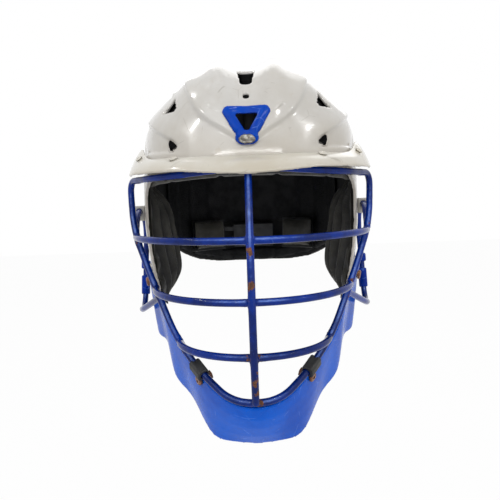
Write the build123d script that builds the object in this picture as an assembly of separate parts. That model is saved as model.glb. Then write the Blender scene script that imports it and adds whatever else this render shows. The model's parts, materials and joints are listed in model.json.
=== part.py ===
from build123d import *
import math
import os

os.makedirs("parts", exist_ok=True)

# A field helmet with a wire face guard. Lengths are millimetres, angles are degrees.
# The origin is the middle of the space for the wearer's head, the face looks
# towards -Y and +Z is up. An azimuth is measured from the face towards +X.

# Driving sizes of the shell
SHELL_HALF_WIDTH = 105.0
SHELL_FRONT = 128.0
SHELL_BACK = 130.0
SHELL_MIDDLE_Z = -40.0
CROWN_HEIGHT = 141.0
SKIRT_DEPTH = 135.0
SHELL_WALL = 3.0
CROWN_RISE = 5.5
RISE_HALF_WIDTH = 50.0
RISE_FALL = 20.0
CROWN_HUMP = 8.0
HUMP_PLACE = 25.0
HUMP_SPREAD = 12.0
HUMP_START_Z = 30.0
HUMP_RAMP = 60.0
PANEL_SWELL = 7.0
PANEL_Z = 46.0
PANEL_SPREAD = 22.0
PANEL_Y = 12.0
PANEL_REACH = 55.0
SHELL_GAP = 0.4
LINER_GAP = 0.7
OVERRUN = 20.0
PLAN_POWER_SHARE = 2.4
FRONT_POWER_SHARE = 2.5
SIDE_POWER_SHARE = 3.2
JAW_TAPER_SHARE = 0.12
GRID_EDGE_ANGLE = 122.0
GRID_CORNER_SHARE = 0.2
SHELL_ROWS = 49
PAD_ROWS = 25
COARSE_ROWS = 17
PATCH_ROWS = 9
FACE_TOLERANCE = 0.1
TINY_SHARE = 1e-12

# Side outline of the shell: each point is a share of the front or back reach
# and a share of the crown height, from the brow round the face to the nape.
BROW_SHARES = [(-0.80, 0.025), (-0.60, 0.0)]
FLAP_SHARES = [(-0.49, -0.08), (-0.47, -0.33), (-0.49, -0.54), (-0.50, -0.68), (-0.38, -0.77)]
SKIRT_SHARES = [(-0.12, -0.70), (0.08, -0.60), (0.31, -0.50), (0.58, -0.54), (0.77, -0.63), (0.91, -0.67)]
BROW_EDGE_Z = 6.0
OUTLINE_ROUND = 7.0

# The seam between the front and the rear shell, as shares in the same way
SEAM_SHARES = [(0.12, 0.98), (0.08, 0.46), (0.24, 0.16), (0.20, -0.20)]
SEAM_ROUND = 12.0
SEAM_GAP = 0.4

# Vents. Half widths across, and places along the shell.
CROWN_VENT_BACK_Y = -64.0
CROWN_VENT_FRONT_Y = -89.0
CROWN_VENT_BACK_HALF = 7.5
CROWN_VENT_FRONT_HALF = 4.2
CROWN_BRIDGE = 7.5
CROWN_SLOT_LENGTH = 4.0
CROWN_SLOT_HALF = 2.5
FRONT_VENT_TOP_Z = 53.0
FRONT_VENT_FOOT_Z = 37.0
FRONT_VENT_TOP_HALF = 11.2
FRONT_VENT_FOOT_HALF = 3.2
TRIM_TOP_Z = 58.5
TRIM_TOP_HALF = 17.0
TRIM_SHOULDER_Z = 54.0
TRIM_SHOULDER_HALF = 19.0
TRIM_WAIST_Z = 35.5
TRIM_WAIST_HALF = 7.0
TRIM_FOOT_Z = 31.0
TRIM_FOOT_HALF = 9.0
TRIM_END_Z = 27.0
TRIM_END_HALF = 5.0
TRIM_PROUD = 1.6
TRIM_COLLAR = 1.4
TRIM_ANGLE = 16.0
TRIM_ROUND = 2.0
BADGE_HALF_WIDTH = 5.6
BADGE_HALF_HEIGHT = 2.8
BADGE_Z = 30.8
BADGE_PROUD = 0.8
UPPER_VENT = [(74.5, -69.0, 61.0), (62.5, -69.0, 73.5), (58.7, -87.0, 60.0)]
LOWER_VENT = [(69.3, -92.3, 38.2), (66.7, -99.5, 26.8), (58.0, -105.5, 28.0)]
REAR_VENT_HALF_WIDTH = 5.0
REAR_VENT_HALF_HEIGHT = 17.0
REAR_VENT_Z = 34.0
REAR_VENT_SPREAD = 26.0
REAR_VENT_COUNT = 4

# Visor
VISOR_THICKNESS = 2.5
VISOR_OVERHANG = 18.0
VISOR_FLARE = 12.0
VISOR_REACH = SHELL_FRONT + VISOR_OVERHANG
VISOR_HALF_WIDTH = SHELL_HALF_WIDTH + VISOR_FLARE
VISOR_SEAM_Z = 17.0
VISOR_SEAM_RISE = 4.0
VISOR_LIP_Z = 3.7
VISOR_LIP_RISE = 4.1
VISOR_TIP_RISE = 4.3
VISOR_WING_RISE = 11.0
VISOR_WING_SHARE = 0.62
VISOR_END_ANGLE = 68.0
VISOR_BULGE = 2.0
VISOR_SEAT_SHARE = 0.9
VISOR_SCREW_SHARES = (0.1, 0.3)
VISOR_HEAD_RADIUS = 3.4
VISOR_HEAD_HEIGHT = 1.5
LIP_RAMP_SHARE = 0.42
LIP_TIP_SHARE = 0.6
VISOR_COLUMNS = 25
VISOR_ROWS = 7

# Face guard wire
WIRE_DIAMETER = 6.0
GUARD_SIDE_STANDOFF = 4.5
GUARD_TOP_STANDOFF = 6.0
GUARD_STANDOFF = 38.0
GUARD_CHIN_SETBACK = 6.0
GUARD_TOP_Z = 7.5
GUARD_DROP = 174.0
GUARD_HALF_WIDTH = SHELL_HALF_WIDTH + GUARD_SIDE_STANDOFF
GUARD_TOP_REACH = SHELL_FRONT + GUARD_TOP_STANDOFF
GUARD_REACH = SHELL_FRONT + GUARD_STANDOFF
GUARD_CHIN_REACH = GUARD_REACH - GUARD_CHIN_SETBACK
UPPER_BAR_DROP = 47.5
MIDDLE_BAR_DROP = 93.0
LOWER_BAR_DROP = 135.0
BAR_REACH_SHARES = (0.964, 1.006, 1.0)
CROSSING_SHARE = 0.85
BEND_SHARE = 0.45

# Routes of the right half of the guard's wires, as shares of its half width,
# its reach and its drop: the frame wire, the top wire and the side loop.
PERIMETER_SHARES = [(0.886, -0.496, 0.017), (1.0, -0.373, 0.017), (0.982, -0.41, -0.184),
                    (0.936, -0.464, -0.287), (0.849, -0.50, -0.437), (0.74, -0.572, -0.586),
                    (0.612, -0.669, -0.747), (0.42, -0.783, -0.891), (0.164, -0.934, -1.0)]
TOP_WIRE_SHARES = [(0.886, -0.496, 0.017), (0.75, -0.643, 0.019), (0.46, -0.762, 0.027),
                   (0.164, -0.807, 0.043)]
LOOP_SHARES = [(0.951, -0.446, -0.253), (0.982, -0.289, -0.149), (0.991, -0.108, -0.138),
               (1.005, 0.012, -0.259), (1.032, 0.036, -0.431), (1.05, 0.0, -0.72),
               (1.014, -0.241, -0.70), (0.749, -0.566, -0.575)]

# Chin guard
CHIN_INSET = 11.5
CHIN_SETBACK = 9.0
CHIN_DEPTH = 48.6
CHIN_HALF_WIDTH = GUARD_HALF_WIDTH - CHIN_INSET
CHIN_REACH = GUARD_REACH - CHIN_SETBACK
CHIN_DROP = GUARD_DROP + CHIN_DEPTH
CHIN_WALL = 3.0
CHIN_BULGE = 4.0
CHIN_ROWS = 7

# Upper and lower edge of the chin guard from its middle to its right arm, as
# shares of its half width, reach and drop
CHIN_TOP_SHARES = [(0, -1.0, -0.8005), (0.255, -0.936, -0.779), (0.459, -0.822, -0.717),
                   (0.612, -0.707, -0.66), (0.735, -0.605, -0.602), (0.847, -0.51, -0.503),
                   (0.939, -0.408, -0.413), (1.0, -0.306, -0.296)]
CHIN_LOW_SHARES = [(0, -0.777, -1.0), (0.204, -0.764, -0.9955), (0.37, -0.72, -0.987),
                   (0.516, -0.65, -0.903), (0.667, -0.56, -0.827), (0.789, -0.471, -0.75),
                   (0.881, -0.37, -0.656), (0.93, -0.24, -0.539)]

# Liner and pads
LINER_THICKNESS = 13.0
NAPE_LINER_THICKNESS = 5.6
LINER_TOP_Z = 40.0
LINER_SPLIT = 1.0
BROW_PAD_THICKNESS = 16.0
JAW_PAD_THICKNESS = 32.0
JAW_TOP_SHARE = 0.75
PAD_RIM = 4.0

CROWN_LINER_SHARE = 0.74
CROWN_EDGE_SHARE = 6
JAW_EDGE_SHARE = 8
WEDGE_SHARE = 0.65
CROWN_CHANNEL_HALF = 5.5
CROWN_LINER_GAP = 1.3
REAR_LINER_ANGLE = 62.0
REAR_LINER_SIDE_Z = -64.0
REAR_LINER_DIP = 32.0
BROW_PAD_ANGLE = 56.0
BROW_PAD_LOW_Z = -4.0
BROW_PAD_ARCH = 7.0
BROW_PAD_HIGH_Z = 35.0
SIDE_LINER_ANGLES = (62.0, 116.0)
SIDE_LINER_LOW_Z = 6.0
JAW_PAD_ANGLES = (59.0, 86.0)
JAW_PAD_LOW_Z = (-122.0, -112.0)
JAW_PAD_HIGH_Z = 4.0

# Fit system at the nape
DIAL_Z = -62.0
DIAL_RADIUS = 17.0
DIAL_THICKNESS = 8.0
DIAL_FLUTES = 20
FLUTE_RADIUS = 1.6
GEAR_MODULE = 1.0
PINION_TEETH = 10
RACK_HEIGHT = 5.0
RACK_DEPTH = 5.0
RACK_REAR_Y = 116.0
WING_TRAVEL = 10.0
WING_HEIGHT = 40.0
WING_THICKNESS = 2.4
WING_CLEARANCE = 3.0
WING_PAD_THICKNESS = 6.0
HOUSING_HALF_WIDTH = 24.0
HOUSING_WALL = 2.4
RUNNING_GAP = 0.3
SHAFT_CLEARANCE = 0.05
RACK_FREE_X = 8.0
RACK_TEETH_INNER = 2
RACK_TEETH_OUTER = 6
PRESSURE_ANGLE = 20.0
ADDENDUM_SHARE = 0.75
DEDENDUM_SHARE = 1.25
TOOTH_WIDTH_SHARE = 0.8
TOOTH_SINK = 0.3
DIAL_GAP = 1.0
DIAL_SCREW_RADIUS = 1.5

# Fasteners and small fittings
SEAT_GAP = 0.1
SCREW_RADIUS = 2.0
SCREW_HEAD_RADIUS = 4.2
SCREW_HEAD_HEIGHT = 2.2
SCREW_GRIP = 9.0
SCREW_SOCKET_RADIUS = 1.6
SCREW_SOCKET_DEPTH = 1.2
NUT_RADIUS = 4.0
HEX_SIDES = 6
NUT_HEIGHT = 3.0
BRACKET_ANGLES = (95.0, 113.0)
BRACKET_SCREW_ANGLES = (98.5, 109.5)
BRACKET_Z = -24.0
BRACKET_HALF_HEIGHT = 7.0
BRACKET_THICKNESS = 2.0
STUD_PLACES = [(80.0, -82.0), (122.0, -58.0)]
STUD_RADIUS = 4.2
STUD_LENGTH = 3.5
STUD_BASE_RADIUS = 7.0
STUD_BASE_HEIGHT = 1.2
ARM_SCREW_STATION_SHARE = 0.93
ARM_SCREW_ROW_SHARE = 0.22
ARM_SCREW_REACH = 8.9
ARM_SCREW_SEAT = 2.9
COLLAR_LENGTH = 9.0
COLLAR_RADIUS = 4.8
COLLAR_DROP = 82.0
COLLAR_ROUND = 2.0
HOOK_LENGTH = 20.0
HOOK_HALF_WIDTH = 4.4
HOOK_DROP = 103.0
HOOK_ROUND_SHARE = 0.3
LOOP_UPRIGHT_INDEX = 4
LOOP_TOP_INDEX = 1
CLIP_PLACE_SHARE = 0.5
CLIP_WALL = 2.2
CLIP_TAB = 4.0
CLIP_LENGTH = 12.0
CLIP_AZIMUTH = 72.0
CLIP_SPAN = 16.0
TOP_CLIP_X = 20.0
TOP_CLIP_HALF_WIDTH = 5.0
TOP_CLIP_WALL = 2.0
TOP_CLIP_HIGH_Z = 8.5
CHIN_CLIP_STATION_SHARE = 0.3
CHIN_CLIP_LENGTH = 15.0
CHIN_CLIP_ABOVE = 4.9
CHIN_CLIP_RISE = 5.0
CHIN_CLIP_TAB = 2.5
CHIN_SCREW_SEAT = 0.8
CHIN_SCREW_REACH = 10.9
CHIN_NUT_DEPTH = 7.9
STUD_SEAT = 0.5
VISOR_SCREW_ROW_SHARE = 0.3
VISOR_STEP_SHARE = 0.02
TOP_CLIP_BACK_SHARE = 0.92
WING_ANGLES = (18.5, 41.5)
WING_DEPTH = 13.0
HOUSING_ANGLE = 16.0
HOUSING_SCREW_ANGLE = 9.3
JAW_COLUMNS = 15
CHIN_CLIP_BELOW = 12.0
CHIN_CLIP_FRONT = 4.9
CHIN_CLIP_ROUND = 2.5
CHIN_SCREW_DROP = 5.8
CHIN_SCREW_INDEX = 2


def smooth_share(share):
    """Ease from 0 to 1."""
    held = min(max(share, 0), 1)
    return held * held * (3 - 2 * held)


def mirrored(shape):
    return mirror(shape, about=Plane.YZ)


def section_power(east, north):
    side_share = east * east / max(east * east + north * north, TINY_SHARE)
    return FRONT_POWER_SHARE + (SIDE_POWER_SHARE - FRONT_POWER_SHARE) * side_share


def plan_sum(east, north):
    """Size of a plan direction measured in the shell's own plan outline."""
    reach = SHELL_FRONT if north < 0 else SHELL_BACK
    across = abs(east / SHELL_HALF_WIDTH) ** PLAN_POWER_SHARE
    along = abs(north / reach) ** PLAN_POWER_SHARE
    return (across + along) ** (1 / PLAN_POWER_SHARE)


def swelled(x, y, z, depth, swell):
    """Move a dome point in by a depth, and out by its crown and a share of its humps and panels."""
    rise = z - SHELL_MIDDLE_Z
    reach = math.sqrt(x * x + y * y + rise * rise)
    height = smooth_share((z - HUMP_START_Z) / HUMP_RAMP)
    crown = CROWN_RISE * (1 - smooth_share((abs(x) - RISE_HALF_WIDTH) / RISE_FALL)) * height
    hump = CROWN_HUMP * math.exp(-(((abs(x) - HUMP_PLACE) / HUMP_SPREAD) ** 2)) * height
    panel = PANEL_SWELL * math.exp(-(((z - PANEL_Z) / PANEL_SPREAD) ** 2))
    panel *= math.exp(-(((y - PANEL_Y) / PANEL_REACH) ** 2)) * (x / SHELL_HALF_WIDTH) ** 2
    grow = (reach + crown + (hump + panel) * swell - depth) / reach
    taper = 1 - JAW_TAPER_SHARE * max(-rise, 0) / SKIRT_DEPTH
    return Vector(x * grow * taper, y * grow, SHELL_MIDDLE_Z + rise * grow)


def dome_point(u, v, depth, swell=1):
    """Point of the shell for a place on a square sheet centred on the crown."""
    radius = math.hypot(u, v)
    tilt = math.radians(GRID_EDGE_ANGLE) * radius * (1 - GRID_CORNER_SHARE * u * u * v * v)
    turn = math.atan2(v, u) if radius > 0 else 0
    east, north, rise = math.sin(tilt) * math.cos(turn), math.sin(tilt) * math.sin(turn), math.cos(tilt)
    power = section_power(east, north)
    height = CROWN_HEIGHT if rise > 0 else SKIRT_DEPTH
    reach = (plan_sum(east, north) ** power + abs(rise / height) ** power) ** (-1 / power)
    return swelled(reach * east, reach * north, SHELL_MIDDLE_Z + reach * rise, depth, swell)


def skin_point(azimuth, level, depth, swell=1):
    """Point of the shell at an azimuth and a level, a depth inside its outer face."""
    east, north = math.sin(math.radians(azimuth)), -math.cos(math.radians(azimuth))
    power = section_power(east, north)
    rise = level - SHELL_MIDDLE_Z
    height = CROWN_HEIGHT if rise > 0 else SKIRT_DEPTH
    reach = max(1 - abs(rise / height) ** power, 0) ** (1 / power) / plan_sum(east, north)
    return swelled(reach * east, reach * north, level, depth, swell)


def grid_of(place, columns, rows):
    """Rows of points for shares from 0 to 1 along and across a sheet."""
    return [[place(i / (columns - 1), j / (rows - 1)) for i in range(columns)] for j in range(rows)]


def offset_grid(points, distance):
    """The same grid moved along the normals of its surface."""
    last_row, last_column = len(points) - 1, len(points[0]) - 1
    moved = []
    for j, row in enumerate(points):
        new_row = []
        for i, point in enumerate(row):
            along = row[min(i + 1, last_column)] - row[max(i - 1, 0)]
            across = points[min(j + 1, last_row)][i] - points[max(j - 1, 0)][i]
            new_row.append(point + along.cross(across).normalized() * distance)
        moved.append(new_row)
    return moved


def sheet_between(front_points, back_points):
    """Solid between two grids of points, closed by ruled faces round their rims."""
    front = Face.make_surface_from_array_of_points(front_points, tol=FACE_TOLERANCE)
    back = Face.make_surface_from_array_of_points(back_points, tol=FACE_TOLERANCE)
    faces = [front, back]
    for edge in front.edges():
        partner = min(back.edges(), key=lambda other: (other.center() - edge.center()).length)
        faces.append(Face.make_surface_from_curves(edge, partner))
    return Solid(Shell(faces))


def side_point(y_share, z_share):
    reach = SHELL_FRONT if y_share < 0 else SHELL_BACK
    return (reach * y_share, CROWN_HEIGHT * z_share)


def prism(plane, outline, length, radii=0):
    """Prism both ways from a plane, with rounded corners where radii say so."""
    path = FilletPolyline(*outline, radius=radii, close=True) if radii else Polyline(*outline, close=True)
    face = Face(Wire(path.edges()))
    return extrude(plane * face, amount=length, both=True)


def shell_region():
    """Everything above and outside the shell's lower edge, seen from the side."""
    front = -SHELL_FRONT - OVERRUN
    back = SHELL_BACK + OVERRUN
    top = CROWN_HEIGHT + OVERRUN
    edge = [side_point(*share) for share in BROW_SHARES + FLAP_SHARES + SKIRT_SHARES]
    nape = (back, edge[-1][1])
    outline = [(front, BROW_EDGE_Z)] + edge + [nape, (back, top), (front, top)]
    radii = [0] + [OUTLINE_ROUND] * len(edge) + [0, 0, 0]
    return prism(Plane.YZ, outline, SHELL_HALF_WIDTH + OVERRUN, radii)


def seam_region(side):
    """Region in front of the shell seam for side -1, behind it for side +1."""
    shift = side * SEAM_GAP / 2
    seam = [side_point(*share) for share in SEAM_SHARES]
    low = (seam[-1][0], -SKIRT_DEPTH - OVERRUN)
    high = (seam[0][0], CROWN_HEIGHT + OVERRUN)
    line = [(y + shift, z) for y, z in [high] + seam[1:] + [low]]
    far = side * (SHELL_BACK + OVERRUN * 2)
    outline = line + [(far, low[1]), (far, high[1])]
    radii = [0] + [SEAM_ROUND] * (len(line) - 2) + [0, 0, 0]
    return prism(Plane.YZ, outline, SHELL_HALF_WIDTH + OVERRUN, radii)


def vent_prism(corners, grow=0):
    """Prism through a three-cornered vent, square to the plane of its corners."""
    points = [Vector(*corner) for corner in corners]
    middle = (points[0] + points[1] + points[2]) / 3
    normal = (points[1] - points[0]).cross(points[2] - points[0]).normalized()
    stretched = [point + (point - middle).normalized() * grow for point in points]
    face = Face(Wire(Polyline(*stretched, close=True).edges()))
    outer = face.moved(Location(normal * -OVERRUN))
    return Solid.extrude(outer, normal * (OVERRUN * 2))


def crown_vent_prism(grow=0):
    back, front = CROWN_VENT_BACK_Y + grow, CROWN_VENT_FRONT_Y - grow
    wide, narrow = CROWN_VENT_BACK_HALF + grow, CROWN_VENT_FRONT_HALF + grow
    outline = [(-wide, back), (wide, back), (narrow, front), (-narrow, front)]
    return prism(Plane.XY.offset(CROWN_HEIGHT / 2), outline, CROWN_HEIGHT / 2)


def crown_slot_prism():
    back = CROWN_VENT_FRONT_Y - CROWN_BRIDGE
    outline = [(-CROWN_SLOT_HALF, back), (CROWN_SLOT_HALF, back),
               (CROWN_SLOT_HALF, back - CROWN_SLOT_LENGTH), (-CROWN_SLOT_HALF, back - CROWN_SLOT_LENGTH)]
    return prism(Plane.XY.offset(CROWN_HEIGHT / 2), outline, CROWN_HEIGHT / 2)


def front_plane():
    """Plane across the face at the front of the shell, with +X right and +Z up."""
    return Plane(origin=(0, -SHELL_FRONT, 0), x_dir=(1, 0, 0), z_dir=(0, -1, 0))


def front_vent_prism(grow=0):
    top, foot = FRONT_VENT_TOP_Z + grow, FRONT_VENT_FOOT_Z - grow
    wide, narrow = FRONT_VENT_TOP_HALF + grow, FRONT_VENT_FOOT_HALF + grow
    outline = [(-wide, top), (wide, top), (narrow, foot), (-narrow, foot)]
    return prism(front_plane(), outline, SHELL_FRONT / 2, CROWN_SLOT_HALF)


def rear_vent_prisms():
    """Slots through the rear shell, on each side of its middle."""
    slots = []
    for place in range(REAR_VENT_COUNT):
        azimuth = 180 + (place - (REAR_VENT_COUNT - 1) / 2) * REAR_VENT_SPREAD
        middle = skin_point(azimuth, REAR_VENT_Z, 0)
        outward = Vector(middle.X, middle.Y, 0).normalized()
        plane = Plane(origin=middle, x_dir=Vector(0, 0, 1).cross(outward), z_dir=outward)
        wide, high = REAR_VENT_HALF_WIDTH, REAR_VENT_HALF_HEIGHT
        outline = [(-wide, -high), (wide, -high), (wide, high), (-wide, high)]
        slots.append(prism(plane, outline, OVERRUN, REAR_VENT_HALF_WIDTH * BEND_SHARE * 2))
    return slots


def drill(shape, cutters):
    for cutter in cutters:
        shape = shape - cutter
    return shape


def both_sides(shape):
    return [shape, mirrored(shape)]


def patch(azimuth_span, level_span, depths, count=PATCH_ROWS):
    """Piece of skin between two depths, over a span of azimuths and of levels."""
    def face_at(depth):
        def place(s, t):
            azimuth = azimuth_span[0] + (azimuth_span[1] - azimuth_span[0]) * s
            level = level_span[0] + (level_span[1] - level_span[0]) * t
            return skin_point(azimuth, level, depth)
        return grid_of(place, count, count)
    return sheet_between(face_at(depths[0]), face_at(depths[1]))


def shell_halves():
    outer = grid_of(lambda s, t: dome_point(s * 2 - 1, t * 2 - 1, 0), SHELL_ROWS, SHELL_ROWS)
    inner = grid_of(lambda s, t: dome_point(s * 2 - 1, t * 2 - 1, SHELL_WALL), SHELL_ROWS, SHELL_ROWS)
    shell = sheet_between(outer, inner) & shell_region()
    front_cuts = [crown_vent_prism(), crown_slot_prism(), front_vent_prism(TRIM_COLLAR + RUNNING_GAP)]
    front_cuts += both_sides(vent_prism(UPPER_VENT)) + both_sides(vent_prism(LOWER_VENT))
    front = drill(shell & seam_region(-1), front_cuts)
    rear = drill(shell & seam_region(1), rear_vent_prisms())
    return front, rear


def trim_outline():
    half = [(TRIM_TOP_HALF, TRIM_TOP_Z), (TRIM_SHOULDER_HALF, TRIM_SHOULDER_Z),
            (TRIM_WAIST_HALF, TRIM_WAIST_Z), (TRIM_FOOT_HALF, TRIM_FOOT_Z), (TRIM_END_HALF, TRIM_END_Z)]
    return half + [(-x, z) for x, z in reversed(half)]


def vent_trim():
    """Frame of the front vent, with a collar that drops into the shell's opening."""
    plate = patch((-TRIM_ANGLE, TRIM_ANGLE), (TRIM_END_Z - OVERRUN / 2, TRIM_TOP_Z + OVERRUN / 2),
                  (-TRIM_PROUD, -RUNNING_GAP))
    plate = plate & prism(front_plane(), trim_outline(), SHELL_FRONT / 2, TRIM_ROUND)
    collar = patch((-TRIM_ANGLE, TRIM_ANGLE), (TRIM_END_Z - OVERRUN / 2, TRIM_TOP_Z + OVERRUN / 2),
                   (-TRIM_PROUD / 2, SHELL_WALL + SHELL_GAP))
    collar = collar & front_vent_prism(TRIM_COLLAR)
    return (plate + collar) - front_vent_prism()


def trim_badge():
    skin = patch((-TRIM_ANGLE, TRIM_ANGLE), (BADGE_Z - OVERRUN / 2, BADGE_Z + OVERRUN / 2),
                 (-TRIM_PROUD - BADGE_PROUD, -TRIM_PROUD - SEAT_GAP))
    oval = front_plane() * (Pos(0, BADGE_Z) * Ellipse(BADGE_HALF_WIDTH, BADGE_HALF_HEIGHT))
    return skin & extrude(oval, amount=SHELL_FRONT / 2, both=True)


def visor_lip(azimuth, side):
    """Lower edge of the visor."""
    east, north = math.sin(math.radians(azimuth)), -math.cos(math.radians(azimuth))
    across = abs(east / VISOR_HALF_WIDTH) ** PLAN_POWER_SHARE
    along = abs(north / VISOR_REACH) ** PLAN_POWER_SHARE
    reach = (across + along) ** (-1 / PLAN_POWER_SHARE)
    level = VISOR_LIP_Z + VISOR_LIP_RISE * smooth_share(side / LIP_RAMP_SHARE)
    level += (VISOR_TIP_RISE - VISOR_LIP_RISE) * smooth_share((side - LIP_TIP_SHARE) / (1 - LIP_TIP_SHARE))
    return Vector(reach * east, reach * north, level)


def visor_point(s, t):
    azimuth = VISOR_END_ANGLE * (s * 2 - 1)
    side = abs(s * 2 - 1)
    seat = -SHELL_GAP - VISOR_THICKNESS * VISOR_SEAT_SHARE
    wing = smooth_share((side - VISOR_WING_SHARE) / (1 - VISOR_WING_SHARE))
    seam = skin_point(azimuth, VISOR_SEAM_Z + VISOR_SEAM_RISE * side + VISOR_WING_RISE * wing, seat)
    lip = visor_lip(azimuth, side)
    outward = Vector(math.sin(math.radians(azimuth)), -math.cos(math.radians(azimuth)), 1).normalized()
    return seam + (lip - seam) * t + outward * (VISOR_BULGE * math.sin(math.pi * t))


def visor():
    outer = grid_of(visor_point, VISOR_COLUMNS, VISOR_ROWS)
    return sheet_between(outer, offset_grid(outer, VISOR_THICKNESS))


def bend_radii(points):
    """Largest arcs that the runs beside each bend leave room for."""
    radii = []
    for before, corner, after in zip(points, points[1:], points[2:]):
        run_in, run_out = corner - before, after - corner
        half_turn = math.radians(run_in.get_angle(run_out)) / 2
        radii.append(BEND_SHARE * min(run_in.length, run_out.length) / math.tan(half_turn))
    return radii


def bent_wire(points, diameter=WIRE_DIAMETER):
    points = [Vector(*point) for point in points]
    path = FilletPolyline(*points, radius=bend_radii(points))
    return sweep(Plane(origin=path @ 0, z_dir=path % 0) * Circle(diameter / 2), path=path)


def arc_wire(end, middle):
    """Wire bent to one arc, from its mirrored end through the middle to its end."""
    path = ThreePointArc((-end[0], end[1], end[2]), middle, end)
    return sweep(Plane(origin=path @ 0, z_dir=path % 0) * Circle(WIRE_DIAMETER / 2), path=path)


def guard_place(share):
    return (GUARD_HALF_WIDTH * share[0], GUARD_REACH * share[1], GUARD_DROP * share[2])


def guard_side(shares):
    return [guard_place(share) for share in shares]


def perimeter_points():
    side = guard_side(PERIMETER_SHARES)
    return [(-x, y, z) for x, y, z in side] + side[::-1]


def top_wire():
    side = guard_side(TOP_WIRE_SHARES)
    return bent_wire([(-x, y, z) for x, y, z in side] + side[::-1])


def bar_end(shares, drop):
    """Place on the side wire at a drop, found between the points of its route."""
    side = guard_side(shares)
    for upper, lower in zip(side[1:], side[2:]):
        if lower[2] <= -drop <= upper[2]:
            part = (upper[2] + drop) / (upper[2] - lower[2])
            return tuple(a + (b - a) * part for a, b in zip(upper, lower))


def guard_bars():
    drops = [UPPER_BAR_DROP, MIDDLE_BAR_DROP, LOWER_BAR_DROP]
    return [arc_wire(bar_end(PERIMETER_SHARES, drop), (0, -GUARD_REACH * share, -drop))
            for drop, share in zip(drops, BAR_REACH_SHARES)]


def centre_bar():
    shift = WIRE_DIAMETER * CROSSING_SHARE
    drops = [UPPER_BAR_DROP, MIDDLE_BAR_DROP, LOWER_BAR_DROP]
    points = [(0, -GUARD_TOP_REACH, GUARD_TOP_Z)]
    points += [(0, -GUARD_REACH * share - shift, -drop) for drop, share in zip(drops, BAR_REACH_SHARES)]
    points += [(0, -GUARD_CHIN_REACH, -GUARD_DROP)]
    return bent_wire(points)


def loop_points():
    return guard_side(LOOP_SHARES)


def guard_loop():
    return bent_wire(loop_points())


def on_loop(length, drop):
    """Plane across the loop's upright run, half a length above a drop."""
    upper, lower = [Vector(*point) for point in loop_points()[LOOP_UPRIGHT_INDEX:LOOP_UPRIGHT_INDEX + 2]]
    along = (lower - upper).normalized()
    part = (upper.Z + drop) / (upper.Z - lower.Z)
    middle = upper + (lower - upper) * part
    return Plane(origin=middle - along * (length / 2), z_dir=along)


def loop_collar():
    base = on_loop(COLLAR_LENGTH, COLLAR_DROP)
    body = extrude(base * Circle(COLLAR_RADIUS), amount=COLLAR_LENGTH)
    body = fillet(body.edges().filter_by(GeomType.CIRCLE), COLLAR_ROUND)
    return body - wire_bore()


def strap_hook():
    """Oval loop on the wire that takes the hook of a chin strap."""
    base = on_loop(HOOK_LENGTH, HOOK_DROP)
    body = extrude(base * Circle(HOOK_HALF_WIDTH), amount=HOOK_LENGTH)
    body = fillet(body.edges().filter_by(GeomType.CIRCLE), HOOK_HALF_WIDTH * HOOK_ROUND_SHARE)
    return body - wire_bore()


def wire_bore():
    return bent_wire(loop_points(), WIRE_DIAMETER + SEAT_GAP * 2)


def loop_clip():
    """Saddle that holds the loop's top run against the shell."""
    upper = Vector(*loop_points()[LOOP_TOP_INDEX]) * (1 - CLIP_PLACE_SHARE)
    middle = upper + Vector(*loop_points()[LOOP_TOP_INDEX + 1]) * CLIP_PLACE_SHARE
    height = WIRE_DIAMETER + CLIP_WALL * 2 + CLIP_TAB
    block = Pos(middle.X - WIRE_DIAMETER / 2, middle.Y, middle.Z - CLIP_TAB / 2)
    block = block * Box(WIRE_DIAMETER * 2 + CLIP_WALL * 2, CLIP_LENGTH, height)
    block = fillet(block.edges().filter_by(Axis.Y), CLIP_WALL * BEND_SHARE * 2)
    block = block - wire_bore()
    return block - solid_inside_skin()


def solid_inside_skin():
    """Everything inside the shell's outer face near its side, with a seat gap."""
    return patch((CLIP_AZIMUTH - CLIP_SPAN, CLIP_AZIMUTH + CLIP_SPAN), (-OVERRUN * 4, OVERRUN),
                 (-RUNNING_GAP, OVERRUN), PAD_ROWS)


def outside_flap(place):
    """The place, moved out where needed so that the wall there clears the shell."""
    skin = skin_point(math.degrees(math.atan2(place.X, -place.Y)), place.Z, -CHIN_WALL - SHELL_GAP * 2)
    grow = max(1, math.hypot(skin.X, skin.Y) / math.hypot(place.X, place.Y))
    return Vector(place.X * grow, place.Y * grow, place.Z)


def chin_station(index, row):
    """Place on the chin guard for a station along it and a row from its top edge."""
    top, low = CHIN_TOP_SHARES[abs(index)], CHIN_LOW_SHARES[abs(index)]
    side = -1 if index < 0 else 1
    share = [a + (b - a) * row for a, b in zip(top, low)]
    flat = abs(index) / (len(CHIN_TOP_SHARES) - 1)
    bulge = 1 + CHIN_BULGE / CHIN_REACH * math.sin(math.pi * row) * (1 - flat)
    place = Vector(CHIN_HALF_WIDTH * share[0], CHIN_REACH * share[1] * bulge, CHIN_DROP * share[2])
    cleared = outside_flap(place)
    return Vector(side * cleared.X, cleared.Y, cleared.Z)


def chin_grid():
    last = len(CHIN_TOP_SHARES) - 1
    return [[chin_station(i, j / (CHIN_ROWS - 1)) for i in range(-last, last + 1)] for j in range(CHIN_ROWS)]


def chin_guard(grow=0):
    """Moulded cup below the wires, with arms that reach back over the shell's flaps."""
    outer = offset_grid(chin_grid(), -grow) if grow else chin_grid()
    return sheet_between(outer, offset_grid(outer, CHIN_WALL + grow * 2))


def crowned(share):
    """Falls away quickly near both ends of a share and is flat between."""
    return 1 - abs(share * 2 - 1) ** CROWN_EDGE_SHARE


def wedged(share):
    """Grows from the front rim to its full depth, then falls away quickly at the back."""
    return smooth_share(share / WEDGE_SHARE) * (1 - share ** JAW_EDGE_SHARE)


def squared(share):
    """Falls away very quickly at both ends of a share and is flat between."""
    return 1 - abs(share * 2 - 1) ** JAW_EDGE_SHARE


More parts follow.
